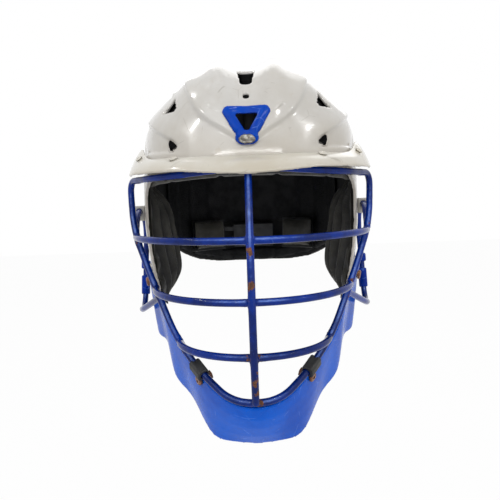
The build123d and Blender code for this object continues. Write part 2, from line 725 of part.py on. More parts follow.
def pad_on_skin(azimuths, low, high, thickness, columns=COARSE_ROWS, rows=COARSE_ROWS,
                seat=SHELL_WALL + LINER_GAP, dip=0, across=None, upward=None, top_share=1):
    """Pad seated inside the shell, drawn in round its rim and thinner towards its top by a share."""
    across, upward = across or crowned, upward or crowned

    def azimuth(s):
        return azimuths[0] + (azimuths[1] - azimuths[0]) * s

    def level(s, t):
        bottom = low[0] + (low[1] - low[0]) * s - dip * (1 - (s * 2 - 1) ** 2)
        top = high[0] + (high[1] - high[0]) * s
        return bottom + (top - bottom) * t

    def fullness(s, t):
        spread = across(s) * upward(t)
        full = thickness * (1 - (1 - top_share) * t)
        return PAD_RIM + (full - PAD_RIM) * spread

    wall = grid_of(lambda s, t: skin_point(azimuth(s), level(s, t), seat, 0), columns, rows)
    face = grid_of(lambda s, t: skin_point(azimuth(s), level(s, t), seat + fullness(s, t), 0), columns, rows)
    return sheet_between(wall, face)


def crown_liner():
    """Right half of the crown's liner, beside the air channel down its middle."""
    def at_depth(depth):
        reach = CROWN_LINER_SHARE
        return grid_of(lambda s, t: dome_point((s * 2 - 1) * reach, (t * 2 - 1) * reach, depth, 0),
                       SHELL_ROWS, SHELL_ROWS)
    seat = SHELL_WALL + CROWN_LINER_GAP
    wall, face = at_depth(seat), at_depth(seat + LINER_THICKNESS)
    size = (SHELL_BACK + OVERRUN) * 2
    corner = Pos(CROWN_CHANNEL_HALF + size / 2, 0, LINER_TOP_Z + LINER_SPLIT + size / 2)
    above = corner * Box(size, size, size)
    cuts = [crown_vent_prism(LINER_SPLIT), front_vent_prism(TRIM_COLLAR + LINER_SPLIT)]
    cuts.append(vent_prism(UPPER_VENT, LINER_SPLIT * 2))
    return drill(sheet_between(wall, face) & above, cuts)


def rear_liner():
    pocket_x = wing_start() + WING_THICKNESS + LINER_SPLIT * 2
    pocket_height = housing_height() + LINER_SPLIT * 4
    pocket = Pos(0, SHELL_BACK, DIAL_Z) * Box(pocket_x * 2, SHELL_BACK / 2, pocket_height)
    azimuths = (180 - REAR_LINER_ANGLE, 180 + REAR_LINER_ANGLE)
    pad = pad_on_skin(azimuths, (REAR_LINER_SIDE_Z,) * 2, (LINER_TOP_Z,) * 2, NAPE_LINER_THICKNESS,
                      PAD_ROWS, PAD_ROWS, dip=REAR_LINER_DIP)
    return pad - pocket


def housing_height():
    return (GEAR_MODULE * PINION_TEETH / 2 + RACK_HEIGHT + GEAR_MODULE + HOUSING_WALL + RUNNING_GAP) * 2


def pitch_radius():
    return GEAR_MODULE * PINION_TEETH / 2


def rack_plane_y():
    return RACK_REAR_Y - RACK_DEPTH / 2


def tooth_outline(width_share):
    """One straight-sided tooth on a pitch line, pointing up, a little thin for its gap."""
    half = math.pi * GEAR_MODULE / 2 * width_share / 2
    lean = math.tan(math.radians(PRESSURE_ANGLE))
    top, root = GEAR_MODULE * ADDENDUM_SHARE, GEAR_MODULE * DEDENDUM_SHARE
    return [(-half - root * lean, -root), (half + root * lean, -root), (half - top * lean, top),
            (-half + top * lean, top)]


def fit_pinion():
    """Toothed shaft that the dial turns, with a bore for the dial's screw."""
    base = Plane(origin=(0, RACK_REAR_Y - RACK_DEPTH, DIAL_Z), x_dir=(1, 0, 0), z_dir=(0, 1, 0))
    root = pitch_radius() - GEAR_MODULE * DEDENDUM_SHARE
    gear = Circle(root + TOOTH_SINK)
    for place in range(PINION_TEETH):
        tooth = Face(Wire(Polyline(*tooth_outline(TOOTH_WIDTH_SHARE), close=True).edges()))
        gear = gear + Rot(0, 0, 360 / PINION_TEETH * place) * (Pos(0, pitch_radius()) * tooth)
    length = SHELL_BACK + DIAL_GAP - (RACK_REAR_Y - RACK_DEPTH)
    shaft = extrude(base * Circle(root), amount=length) + extrude(base * gear, amount=RACK_DEPTH)
    stub = extrude(base * Circle(root), amount=-RUNNING_GAP - HOUSING_WALL)
    bore = extrude(base.offset(length) * Circle(DIAL_SCREW_RADIUS), amount=-SCREW_GRIP)
    return shaft + stub - bore


def wing_start():
    """Where a wing plate begins at rest, so that it clears the housing when drawn right in."""
    return HOUSING_HALF_WIDTH + WING_TRAVEL + WING_CLEARANCE


def rack_bar(side):
    """Straight toothed bar, above the pinion for side -1 and below it for side +1."""
    root_line = pitch_radius() + GEAR_MODULE * DEDENDUM_SHARE
    inner, outer = RACK_FREE_X, wing_start() + WING_THICKNESS
    width = outer + inner
    middle_x = (outer - inner) / 2
    bar = Pos(middle_x, RACK_REAR_Y - RACK_DEPTH / 2, root_line + RACK_HEIGHT / 2)
    bar = bar * Box(width, RACK_DEPTH - RUNNING_GAP, RACK_HEIGHT)
    pitch = math.pi * GEAR_MODULE
    for place in range(-RACK_TEETH_INNER, RACK_TEETH_OUTER):
        x = (place + 1 / 2) * pitch
        outline = [(x + dx, pitch_radius() - dz) for dx, dz in tooth_outline(TOOTH_WIDTH_SHARE)]
        sunk = [(px, pz + TOOTH_SINK * (pz > pitch_radius())) for px, pz in outline]
        plane = Plane(origin=(0, rack_plane_y(), 0), x_dir=(1, 0, 0), z_dir=(0, -1, 0))
        bar = bar + prism(plane, sunk, (RACK_DEPTH - RUNNING_GAP) / 2)
    if side < 0:
        return Pos(0, 0, DIAL_Z) * mirrored(bar)
    return Pos(0, 0, DIAL_Z) * mirror(bar, about=Plane.XY)


def skin_plane(azimuth, level, depth):
    """Plane on the skin at a depth, with its normal pointing out of the shell."""
    step = OUTLINE_ROUND / SHELL_FRONT
    middle = skin_point(azimuth, level, depth)
    turn = math.degrees(step)
    around = skin_point(azimuth + turn, level, depth) - skin_point(azimuth - turn, level, depth)
    rise = OUTLINE_ROUND
    upward = skin_point(azimuth, level + rise, depth) - skin_point(azimuth, level - rise, depth)
    return Plane(origin=middle, x_dir=around.normalized(), z_dir=around.cross(upward).normalized())


def screw(plane, length, radius=SCREW_RADIUS, head=SCREW_HEAD_RADIUS, height=SCREW_HEAD_HEIGHT):
    """Low round head that stands on a plane, with a socket, and a shank below it."""
    top = extrude(plane * Circle(head), amount=height)
    top = fillet(top.edges().filter_by(GeomType.CIRCLE).sort_by(Axis(plane.origin, plane.z_dir))[-1],
                 height * HOOK_ROUND_SHARE * 2)
    hexagon = plane.offset(height - SCREW_SOCKET_DEPTH) * RegularPolygon(SCREW_SOCKET_RADIUS, HEX_SIDES)
    socket = extrude(hexagon, amount=height)
    shank = extrude(plane * Circle(radius), amount=-length)
    return (top + shank) - socket


def screw_hole(plane, length, radius=SCREW_RADIUS):
    return extrude(plane.offset(SCREW_GRIP) * Circle(radius + SEAT_GAP), amount=-length - SCREW_GRIP)


def chin_place(station_share, row, depth=0):
    """Plane on the chin guard for a share of the way to its arm's end, with its normal pointing out."""
    station = station_share * (len(CHIN_TOP_SHARES) - 1)
    low = int(station)
    part = station - low
    here = chin_station(low, row) * (1 - part) + chin_station(low + 1, row) * part
    along = chin_station(low + 1, row) - chin_station(low, row)
    down = chin_station(low, 1) - chin_station(low, 0)
    normal = along.cross(down).normalized()
    if normal.dot(Vector(here.X, here.Y, 0)) < 0:
        normal = normal * -1
    return Plane(origin=here + normal * depth, x_dir=along.normalized(), z_dir=normal)


def chin_screw_plane():
    top = chin_place(CHIN_CLIP_STATION_SHARE, 0)
    row = CHIN_SCREW_DROP / (chin_station(CHIN_SCREW_INDEX, 1) - chin_station(CHIN_SCREW_INDEX, 0)).length
    plane = chin_place(CHIN_CLIP_STATION_SHARE, row, CHIN_SCREW_SEAT)
    return Plane(origin=plane.origin, x_dir=top.x_dir, z_dir=top.z_dir)


def chin_clip():
    """Rubber saddle round the frame wire, with a tab that the screw holds behind the chin guard."""
    plane = chin_place(CHIN_CLIP_STATION_SHARE, 0)
    tall, thick = CHIN_CLIP_ABOVE * 2, CHIN_CLIP_FRONT * 2
    saddle = Box(CHIN_CLIP_LENGTH, tall, thick)
    saddle = fillet(saddle.edges().filter_by(Axis.X), CHIN_CLIP_ROUND)
    saddle = Pos(0, CHIN_CLIP_RISE, 0) * saddle
    drop = CHIN_CLIP_BELOW + CHIN_CLIP_RISE
    depth = CHIN_WALL + RUNNING_GAP + CHIN_CLIP_TAB
    tab = Pos(0, CHIN_CLIP_RISE - drop / 2, -depth / 2)
    tab = tab * Box(CHIN_CLIP_LENGTH, drop, depth)
    clip = plane * (saddle + tab)
    cuts = [bent_wire(perimeter_points(), WIRE_DIAMETER + RUNNING_GAP * 2), chin_guard(RUNNING_GAP)]
    cuts.append(screw_hole(chin_screw_plane(), SCREW_GRIP))
    return max(drill(clip, cuts).solids(), key=lambda part: part.volume)


def wing_plate():
    levels = (DIAL_Z - WING_HEIGHT / 2, DIAL_Z + WING_HEIGHT / 2)
    azimuths = (180 - WING_ANGLES[0], 180 - WING_ANGLES[1])
    return patch(azimuths, levels, (WING_DEPTH, WING_DEPTH + WING_THICKNESS))


def cradle_wing(side):
    """Wing plate with its rack, on the left for side -1 and on the right for side +1."""
    plate = wing_plate()
    return rack_bar(side) + (plate if side > 0 else mirrored(plate))


def wing_pad(side):
    pad = pad_on_skin((180 - WING_ANGLES[0], 180 - WING_ANGLES[1]), (DIAL_Z - WING_HEIGHT / 2,) * 2,
                      (DIAL_Z + WING_HEIGHT / 2,) * 2, WING_PAD_THICKNESS,
                      seat=WING_DEPTH + WING_THICKNESS + RUNNING_GAP)
    return pad if side > 0 else mirrored(pad)


def fit_housing():
    """Box on the inside of the nape that guides both racks and carries the shaft."""
    front_y = RACK_REAR_Y - RACK_DEPTH - RUNNING_GAP - HOUSING_WALL
    depth = SHELL_BACK - front_y
    block = Pos(0, front_y + depth / 2, DIAL_Z) * Box(HOUSING_HALF_WIDTH * 2, depth, housing_height())
    inside = patch((180 - HOUSING_ANGLE, 180 + HOUSING_ANGLE), (DIAL_Z - OVERRUN, DIAL_Z + OVERRUN),
                   (SHELL_WALL + RUNNING_GAP, SHELL_WALL + OVERRUN * 2))
    block = block & inside
    slot_height = housing_height() - HOUSING_WALL * 2
    slot = Pos(0, rack_plane_y(), DIAL_Z) * Box(HOUSING_HALF_WIDTH * 3, RACK_DEPTH + RUNNING_GAP, slot_height)
    root = pitch_radius() - GEAR_MODULE * DEDENDUM_SHARE
    shaft_line = Plane(origin=(0, 0, DIAL_Z), x_dir=(1, 0, 0), z_dir=(0, 1, 0))
    bore = extrude(shaft_line * Circle(root + SHAFT_CLEARANCE), amount=SHELL_BACK + OVERRUN)
    return drill(block, [slot, bore] + [screw_hole(plane, SCREW_GRIP) for plane in housing_planes()])


def housing_planes():
    planes = []
    for side in (-1, 1):
        planes.append(skin_plane(180 + side * HOUSING_SCREW_ANGLE, DIAL_Z, -RUNNING_GAP))
    return planes


def fit_dial():
    """Fluted knob behind the nape, with a hole and a counterbore for its screw."""
    base = Plane(origin=(0, SHELL_BACK + DIAL_GAP, DIAL_Z), x_dir=(1, 0, 0), z_dir=(0, 1, 0))
    knob = extrude(base * Circle(DIAL_RADIUS), amount=DIAL_THICKNESS)
    knob = chamfer(knob.edges().filter_by(GeomType.CIRCLE), FLUTE_RADIUS / 2)
    for place in range(DIAL_FLUTES):
        flute = Rot(0, 0, 360 / DIAL_FLUTES * place) * (Pos(DIAL_RADIUS, 0) * Circle(FLUTE_RADIUS))
        knob = knob - extrude(base * flute, amount=DIAL_THICKNESS)
    hole = extrude(base * Circle(DIAL_SCREW_RADIUS + SEAT_GAP), amount=DIAL_THICKNESS)
    seat = base.offset(DIAL_THICKNESS / 2)
    sink = extrude(seat * Circle(SCREW_HEAD_RADIUS + SEAT_GAP), amount=DIAL_THICKNESS)
    return knob - hole - sink


def dial_screw():
    seat_y = SHELL_BACK + DIAL_GAP + DIAL_THICKNESS / 2
    base = Plane(origin=(0, seat_y, DIAL_Z), x_dir=(1, 0, 0), z_dir=(0, 1, 0))
    return screw(base, DIAL_THICKNESS / 2 + SCREW_GRIP - SEAT_GAP, DIAL_SCREW_RADIUS - SEAT_GAP)


def top_clip():
    """Clip behind the visor that holds the top wire to the front of the shell."""
    wire_y = guard_side(TOP_WIRE_SHARES)[-1][1]
    low = GUARD_TOP_Z - WIRE_DIAMETER / 2 - TOP_CLIP_WALL
    height = TOP_CLIP_HIGH_Z - low
    depth = -wire_y - SHELL_FRONT * TOP_CLIP_BACK_SHARE + WIRE_DIAMETER
    block = Pos(TOP_CLIP_X, wire_y - WIRE_DIAMETER / 2 + depth / 2, low + height / 2)
    block = block * Box(TOP_CLIP_HALF_WIDTH * 2, depth, height)
    side = guard_side(TOP_WIRE_SHARES)
    wire = bent_wire([(-x, y, z) for x, y, z in side] + side[::-1], WIRE_DIAMETER + SEAT_GAP * 2)
    inside = patch((0, CLIP_SPAN * 2), (-OVERRUN, OVERRUN), (-SEAT_GAP, OVERRUN))
    return drill(block, [wire, inside])


def shell_bracket():
    """Plate inside the shell that bridges the seam by the ear."""
    depth = SHELL_WALL + RUNNING_GAP
    plate = patch(BRACKET_ANGLES, (BRACKET_Z - BRACKET_HALF_HEIGHT, BRACKET_Z + BRACKET_HALF_HEIGHT),
                  (depth, depth + BRACKET_THICKNESS))
    return drill(plate, [screw_hole(plane, SCREW_GRIP) for plane in bracket_planes()])


def bracket_planes():
    return [skin_plane(angle, BRACKET_Z, -RUNNING_GAP) for angle in BRACKET_SCREW_ANGLES]


def arm_plane():
    """Where the chin guard's arm is screwed to the shell's flap."""
    return chin_place(ARM_SCREW_STATION_SHARE, ARM_SCREW_ROW_SHARE, ARM_SCREW_SEAT)


def visor_planes():
    planes = []
    for share in VISOR_SCREW_SHARES:
        here = visor_point(1 - share, VISOR_SCREW_ROW_SHARE)
        along = here - visor_point(1 - share - VISOR_STEP_SHARE, VISOR_SCREW_ROW_SHARE)
        down = visor_point(1 - share, VISOR_SCREW_ROW_SHARE + VISOR_STEP_SHARE) - here
        normal = down.cross(along).normalized()
        planes.append(Plane(origin=here + normal * RUNNING_GAP, x_dir=along.normalized(), z_dir=normal))
    return planes


def snap_stud(azimuth, level):
    """Stud that a chin strap snaps on to: a base against the shell and a round post."""
    base = skin_plane(azimuth, level, 0).offset(STUD_SEAT)
    foot = extrude(base * Circle(STUD_BASE_RADIUS), amount=STUD_BASE_HEIGHT)
    post = extrude(base * Circle(STUD_RADIUS), amount=STUD_BASE_HEIGHT + STUD_LENGTH)
    shank = extrude(base * Circle(SCREW_RADIUS), amount=-STUD_SEAT - SHELL_WALL)
    return foot + post + shank


def stud_hole(azimuth, level):
    return screw_hole(skin_plane(azimuth, level, 0), SCREW_GRIP)


def nut(plane, depth):
    body = extrude(plane.offset(-depth) * RegularPolygon(NUT_RADIUS, HEX_SIDES), amount=-NUT_HEIGHT)
    return body - extrude(plane.offset(-depth) * Circle(SCREW_RADIUS), amount=-NUT_HEIGHT)


def write(name, *solids):
    pieces = [part for solid in solids for part in solid.solids()]
    shape = pieces[0] if len(pieces) == 1 else Compound(children=pieces)
    shape.label = name
    export_step(shape, f"parts/{name}.step")


def write_pair(name, shape):
    write(name + "_right", shape)
    write(name + "_left", mirrored(shape))


def build_shell():
    front, rear = shell_halves()
    bracket_holes = [screw_hole(plane, SCREW_GRIP) for plane in bracket_planes()]
    arm_hole = screw_hole(arm_plane(), SCREW_GRIP)
    visor_holes = [screw_hole(plane, SCREW_GRIP) for plane in visor_planes()]
    stud_holes = [stud_hole(*place) for place in STUD_PLACES]
    side_holes = bracket_holes + [arm_hole] + visor_holes + stud_holes
    holes = [cut for hole in side_holes for cut in both_sides(hole)]
    shaft_line = Plane(origin=(0, SHELL_BACK / 2, DIAL_Z), x_dir=(1, 0, 0), z_dir=(0, 1, 0))
    shaft_hole = extrude(shaft_line * Circle(pitch_radius()), amount=SHELL_BACK)
    nape_holes = [shaft_hole] + [screw_hole(plane, SCREW_GRIP) for plane in housing_planes()]
    write("front_shell", drill(front, holes))
    write("rear_shell", drill(rear, holes + nape_holes))
    write("visor", drill(visor(), [cut for hole in visor_holes for cut in both_sides(hole)]))
    write("vent_trim", vent_trim())
    write("trim_badge", trim_badge())


def build_fasteners():
    grip = SHELL_WALL + BRACKET_THICKNESS + SEAT_GAP * 3
    bracket_screws = [screw(plane, grip) for plane in bracket_planes()]
    write("shell_brackets", *both_sides(shell_bracket()))
    write("shell_screws", *[part for pin in bracket_screws for part in both_sides(pin)])
    reach, head = VISOR_THICKNESS + SHELL_WALL, VISOR_HEAD_RADIUS
    visor_screws = [screw(plane, reach, head=head, height=VISOR_HEAD_HEIGHT) for plane in visor_planes()]
    write("visor_screws", *[part for pin in visor_screws for part in both_sides(pin)])
    write("arm_screws", *both_sides(screw(arm_plane(), ARM_SCREW_REACH)))
    write("housing_screws", *[screw(plane, SCREW_GRIP - SEAT_GAP) for plane in housing_planes()])
    studs = [snap_stud(*place) for place in STUD_PLACES]
    write("snap_studs", *[part for stud in studs for part in both_sides(stud)])
    chin_plane = chin_screw_plane()
    write("chin_screws", *both_sides(screw(chin_plane, CHIN_SCREW_REACH)))
    write("chin_nuts", *both_sides(nut(chin_plane, CHIN_NUT_DEPTH)))


def build_liner():
    write_pair("crown_liner", crown_liner())
    write("rear_liner", rear_liner())
    brow_angles = (-BROW_PAD_ANGLE, BROW_PAD_ANGLE)
    write("brow_pad", pad_on_skin(brow_angles, (BROW_PAD_LOW_Z,) * 2, (BROW_PAD_HIGH_Z,) * 2,
                                  BROW_PAD_THICKNESS, VISOR_COLUMNS, dip=-BROW_PAD_ARCH))
    write_pair("side_liner", pad_on_skin(SIDE_LINER_ANGLES, (SIDE_LINER_LOW_Z,) * 2, (LINER_TOP_Z,) * 2,
                                         LINER_THICKNESS))
    write_pair("jaw_pad", pad_on_skin(JAW_PAD_ANGLES, JAW_PAD_LOW_Z, (JAW_PAD_HIGH_Z,) * 2, JAW_PAD_THICKNESS,
                                      JAW_COLUMNS, PAD_ROWS, across=wedged, upward=squared,
                                      top_share=JAW_TOP_SHARE))


def build_guard():
    write("guard_frame_wire", bent_wire(perimeter_points()))
    write("guard_top_wire", top_wire())
    for name, bar in zip(("upper", "middle", "lower"), guard_bars()):
        write(f"guard_{name}_bar", bar)
    write("guard_centre_bar", centre_bar())
    write_pair("guard_loop", guard_loop())
    write_pair("loop_collar", loop_collar())
    write_pair("strap_hook", strap_hook())
    write_pair("loop_clip", loop_clip())
    write_pair("top_clip", top_clip())


def build_chin():
    holes = [screw_hole(chin_screw_plane(), SCREW_GRIP), screw_hole(arm_plane(), SCREW_GRIP)]
    write("chin_guard", drill(chin_guard(), [cut for hole in holes for cut in both_sides(hole)]))
    write_pair("chin_clip", chin_clip())


def build_fit_system():
    write("fit_housing", fit_housing())
    write("fit_dial", fit_dial())
    write("fit_pinion", fit_pinion())
    write("dial_screw", dial_screw())
    for side, name in ((-1, "left"), (1, "right")):
        write(f"cradle_wing_{name}", cradle_wing(side))
        write(f"wing_pad_{name}", wing_pad(side))


build_guard()
build_chin()
build_fit_system()
build_fasteners()
build_liner()
build_shell()
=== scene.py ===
# %% [markdown]
# # A lacrosse helmet, dressed in Blender
# The helmet is a thin moulded shell in two halves, a visor, a cage of welded and painted wire, a
# moulded chin guard, and foam inside. The CAD model already holds every hard part at its real place,
# so this script only reads that frame, gives rigid parts their finish, and remakes the parts whose
# soft or rounded forms solid modelling leaves plain. Everything is in metres.

# %% Load the frame
import json
import math

import bmesh
import bpy
import numpy as np
from mathutils import Matrix, Vector


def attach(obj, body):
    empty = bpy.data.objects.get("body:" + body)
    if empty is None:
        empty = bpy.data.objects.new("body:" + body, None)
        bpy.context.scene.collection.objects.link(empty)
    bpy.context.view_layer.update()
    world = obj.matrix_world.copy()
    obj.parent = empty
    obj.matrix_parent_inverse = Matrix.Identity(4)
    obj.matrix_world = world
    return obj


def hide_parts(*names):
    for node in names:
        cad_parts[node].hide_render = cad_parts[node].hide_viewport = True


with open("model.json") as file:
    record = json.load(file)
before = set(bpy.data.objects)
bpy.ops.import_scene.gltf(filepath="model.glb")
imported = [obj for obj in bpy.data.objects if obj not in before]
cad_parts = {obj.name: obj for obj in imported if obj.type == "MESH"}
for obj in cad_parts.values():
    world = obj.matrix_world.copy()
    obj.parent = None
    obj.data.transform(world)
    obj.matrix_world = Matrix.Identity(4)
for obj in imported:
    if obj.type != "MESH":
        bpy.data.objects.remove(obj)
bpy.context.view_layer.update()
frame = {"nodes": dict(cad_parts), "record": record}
scene = bpy.context.scene
scene.view_settings.view_transform = "Standard"

# %% [markdown]
# A length in millimetres reads more easily beside a drawing, so one factor turns it into metres.
# The helmet's middle and the way that its face looks, -Y, are used by every step below.

# %% Scale and places
MM = 0.001
WELD_DISTANCE = 0.01 * MM
SHELL_MIDDLE = np.array((0.0, 0.0, -40.0)) * MM
HELMET = "helmet"

# %% [markdown]
# ## The camera
# The photograph was taken from just in front of the face opening with a short lens: the visor looks
# wide and the back of the shell small. A camera of known distance, turn and lens reproduces that
# perspective, and its roll is the slight tilt of the helmet in the picture.

# %% Camera
CAMERA_DISTANCE = 0.560
CAMERA_ASIDE = -3.0 * MM
CAMERA_HEIGHT = -16.0 * MM
CAMERA_AZIMUTH = math.radians(1.0)
CAMERA_PITCH = math.radians(-5.5)
CAMERA_ROLL = math.radians(-2.1)
LENS_MM = 38.88
SENSOR_MM = 36.0


def camera_axes(azimuth, pitch, roll):
    """The camera's right, up and backward directions in the helmet's frame."""
    level = Vector((-math.sin(azimuth), math.cos(azimuth), 0))
    forward = level * math.cos(pitch) + Vector((0, 0, math.sin(pitch)))
    right = Vector((math.cos(azimuth), math.sin(azimuth), 0))
    up = right.cross(forward)
    turned_right = right * math.cos(roll) + up * math.sin(roll)
    turned_up = up * math.cos(roll) - right * math.sin(roll)
    return turned_right, turned_up, -forward


def add_camera():
    data = bpy.data.cameras.new("photo_camera")
    data.lens = LENS_MM
    data.sensor_width = SENSOR_MM
    camera = bpy.data.objects.new("photo_camera", data)
    scene.collection.objects.link(camera)
    right, up, back = camera_axes(CAMERA_AZIMUTH, CAMERA_PITCH, CAMERA_ROLL)
    turn = Matrix((right, up, back)).transposed().to_4x4()
    ahead = Vector((math.sin(CAMERA_AZIMUTH), -math.cos(CAMERA_AZIMUTH), 0)) * CAMERA_DISTANCE
    camera.matrix_world = Matrix.Translation(ahead + Vector((CAMERA_ASIDE, 0, CAMERA_HEIGHT))) @ turn
    scene.camera = camera
    return camera


photo_camera = add_camera()
print("camera stands at", [round(v, 3) for v in photo_camera.location])

# %% [markdown]
# ## Working with meshes as number arrays
# A helmet shell has tens of thousands of points. Reading them into arrays lets one line of
# arithmetic move or mark them all, which is how dents, ridges and wear masks are made below.

# %% Mesh helpers
def points_of(piece):
    flat = np.empty(len(piece.data.vertices) * 3, np.float32)
    piece.data.vertices.foreach_get("co", flat)
    return flat.reshape(-1, 3).astype(float)


def normals_of(piece):
    flat = np.empty(len(piece.data.vertices) * 3, np.float32)
    piece.data.vertices.foreach_get("normal", flat)
    return flat.reshape(-1, 3).astype(float)


def move_points(piece, points):
    piece.data.vertices.foreach_set("co", points.astype(np.float32).ravel())
    piece.data.update()


def paint(piece, title, values):
    """Stores one number per point, which a material reads by its title."""
    layer = piece.data.attributes.new(title, "FLOAT", "POINT")
    layer.data.foreach_set("value", values.astype(np.float32))


def smooth_step(values, low, high):
    share = np.clip((values - low) / (high - low), 0, 1)
    return share * share * (3 - 2 * share)


# %% [markdown]
# A moulded part has no knife edges: its corners are rounded by the mould. Remeshing a copy of the CAD
# solid into small even squares, then smoothing a few times, rounds every corner by about one square
# and leaves even points that can carry relief. The CAD object itself is never changed.

# %% Moulded copies
def joined_copy(nodes, title):
    """One new object that holds copies of the named CAD nodes."""
    shape = bmesh.new()
    for node in nodes:
        shape.from_mesh(frame["nodes"][node].data)
    bmesh.ops.remove_doubles(shape, verts=shape.verts, dist=WELD_DISTANCE)
    mesh = bpy.data.meshes.new(title)
    shape.to_mesh(mesh)
    shape.free()
    piece = bpy.data.objects.new(title, mesh)
    scene.collection.objects.link(piece)
    return piece


def settle(piece):
    """Applies the piece's modifiers to its mesh."""
    shown = bpy.context.evaluated_depsgraph_get()
    mesh = bpy.data.meshes.new_from_object(piece.evaluated_get(shown))
    piece.modifiers.clear()
    piece.data = mesh
    mesh.shade_smooth()
    return piece


def remeshed(piece, square, rounds):
    remesh = piece.modifiers.new("even_squares", "REMESH")
    remesh.mode = "VOXEL"
    remesh.voxel_size = square
    soften = piece.modifiers.new("rounding", "SMOOTH")
    soften.factor = 0.5
    soften.iterations = rounds
    return settle(piece)


def edge_wear_of(piece):
    """Marks how sharply each point stands out of its neighbours, from 0 on a flat to 1 on an edge."""
    edges = np.empty(len(piece.data.edges) * 2, np.int32)
    piece.data.edges.foreach_get("vertices", edges)
    edges = edges.reshape(-1, 2)
    points = points_of(piece)
    total = np.zeros_like(points)
    count = np.zeros(len(points))
    for near, far in ((0, 1), (1, 0)):
        np.add.at(total, edges[:, near], points[edges[:, far]])
        np.add.at(count, edges[:, near], 1)
    middle = total / np.maximum(count, 1)[:, None]
    step = np.linalg.norm(points[edges[:, 0]] - points[edges[:, 1]], axis=1).mean()
    standing = ((points - middle) * normals_of(piece)).sum(1) / step
    return smooth_step(standing, 0.02, 0.16)


def moulded(nodes, title, square, rounds):
    piece = remeshed(joined_copy(nodes, title), square, rounds)
    paint(piece, "edge", edge_wear_of(piece))
    return piece


def stands_for(piece, nodes, body=HELMET):
    """The piece takes the place of CAD nodes and moves with their body."""
    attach(piece, body)
    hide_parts(*nodes)
    triangles = sum(len(face.vertices) - 2 for face in piece.data.polygons)
    print(piece.name, "points", len(piece.data.vertices), "triangles", triangles)


# %% [markdown]
# ## Relief along lines
# The shell's stiffness comes from folds pressed into it. Each fold is a line on the surface, with one
# side a little higher than the other, or a narrow ridge. A point's height changes by its distance to
# the line, and mirrored points share one line because the distance is taken from |x|.

# %% Distance to a line on the surface
def line_distance(points, normals, line):
    """For each point: the distance to the line, and the signed distance across it (left is positive)."""
    line = np.array(line, float) * MM
    best = np.full(len(points), 1e9)
    across = np.zeros(len(points))
    for start, end in zip(line[:-1], line[1:]):
        run = end - start
        share = np.clip(((points - start) @ run) / (run @ run), 0, 1)
        offset = points - (start + share[:, None] * run)
        away = np.linalg.norm(offset, axis=1)
        side = np.cross(normals, run / np.linalg.norm(run))
        nearer = away < best
        best[nearer] = away[nearer]
        across[nearer] = (offset * side).sum(1)[nearer]
    return best, across


def mirrored(points, normals):
    """Points and normals folded onto the +X side."""
    fold = np.where(points[:, :1] < 0, -1.0, 1.0)
    flip = np.concatenate([fold, np.ones_like(fold), np.ones_like(fold)], axis=1)
    return points * flip, normals * flip


def raise_folds(piece, folds, outward):
    """Lifts the outward-facing points along each fold's line by its own profile."""
    points, normals = points_of(piece), normals_of(piece)
    folded, faced = mirrored(points, normals)
    lift = np.zeros(len(points))
    for fold in folds:
        distance, across = line_distance(folded, faced, fold["line"])
        lift += fold["profile"](distance, across)
    move_points(piece, points + normals * (lift * outward)[:, None])


def ridge(height, half_width):
    """A narrow raised line."""
    return lambda distance, across: height * MM * np.exp(-(distance / (half_width * MM)) ** 2)


def ledge(height, half_width, fade):
    """A step up on the left of the line that sinks back to the surface over the fade length."""
    def profile(distance, across):
        step = smooth_step(across, -half_width * MM, half_width * MM)
        return height * MM * step * np.exp(-(distance / (fade * MM)) ** 2)
    return profile


# %% [markdown]
# ## Shared effects
# Real surfaces are never one colour. Several effects return in many finishes here: slow colour drift,
# blotches of rust or dirt, thin scratches, fine grain, and dirt that gathers towards one height.
# Each is a node group, built once, and every material sets its own scale and strength on it.

# %% A small kit for building node groups
def link(tree, source, target):
    tree.links.new(source, target)


def new_group(title, inputs, outputs):
    """A node group with named sockets; inputs are (name, type, value)."""
    group = bpy.data.node_groups.new(title, "ShaderNodeTree")
    for name, kind, value in inputs:
        socket = group.interface.new_socket(name=name, in_out="INPUT", socket_type=kind)
        socket.default_value = value
    for name, kind in outputs:
        group.interface.new_socket(name=name, in_out="OUTPUT", socket_type=kind)
    return group, group.nodes.new("NodeGroupInput"), group.nodes.new("NodeGroupOutput")


def math_node(tree, operation, first, second=None):
    node = tree.nodes.new("ShaderNodeMath")
    node.operation = operation
    for socket, value in zip(node.inputs, (first, second)):
        if value is None:
            continue
        if isinstance(value, (int, float)):
            socket.default_value = value
        else:
            link(tree, value, socket)
    return node.outputs["Value"]


def ranged(tree, value, low, high, new_low=0.0, new_high=1.0):
    """Maps low..high to new_low..new_high with soft ends."""
    node = tree.nodes.new("ShaderNodeMapRange")
    node.interpolation_type = "SMOOTHSTEP"
    link(tree, value, node.inputs["Value"])
    for name, number in (("From Min", low), ("From Max", high), ("To Min", new_low), ("To Max", new_high)):
        if isinstance(number, (int, float)):
            node.inputs[name].default_value = number
        else:
            link(tree, number, node.inputs[name])
    return node.outputs["Result"]


def mixed(tree, share, first, second, blend="MIX"):
    """Mixes two colours by a share."""
    node = tree.nodes.new("ShaderNodeMix")
    node.data_type = "RGBA"
    node.blend_type = blend
    for socket, value in ((node.inputs[0], share), (node.inputs[6], first), (node.inputs[7], second)):
        if isinstance(value, (int, float)):
            socket.default_value = value
        elif isinstance(value, tuple):
            socket.default_value = value
        else:
            link(tree, value, socket)
    return node.outputs[2]


def place_on_object(tree):
    return tree.nodes.new("ShaderNodeTexCoord").outputs["Object"]


def noise(tree, vector, scale, detail=3.0, roughness=0.5):
    node = tree.nodes.new("ShaderNodeTexNoise")
    link(tree, vector, node.inputs["Vector"])
    if isinstance(scale, (int, float)):
        node.inputs["Scale"].default_value = scale
    else:
        link(tree, scale, node.inputs["Scale"])
    node.inputs["Detail"].default_value = detail
    node.inputs["Roughness"].default_value = roughness
    return node.outputs["Fac"]


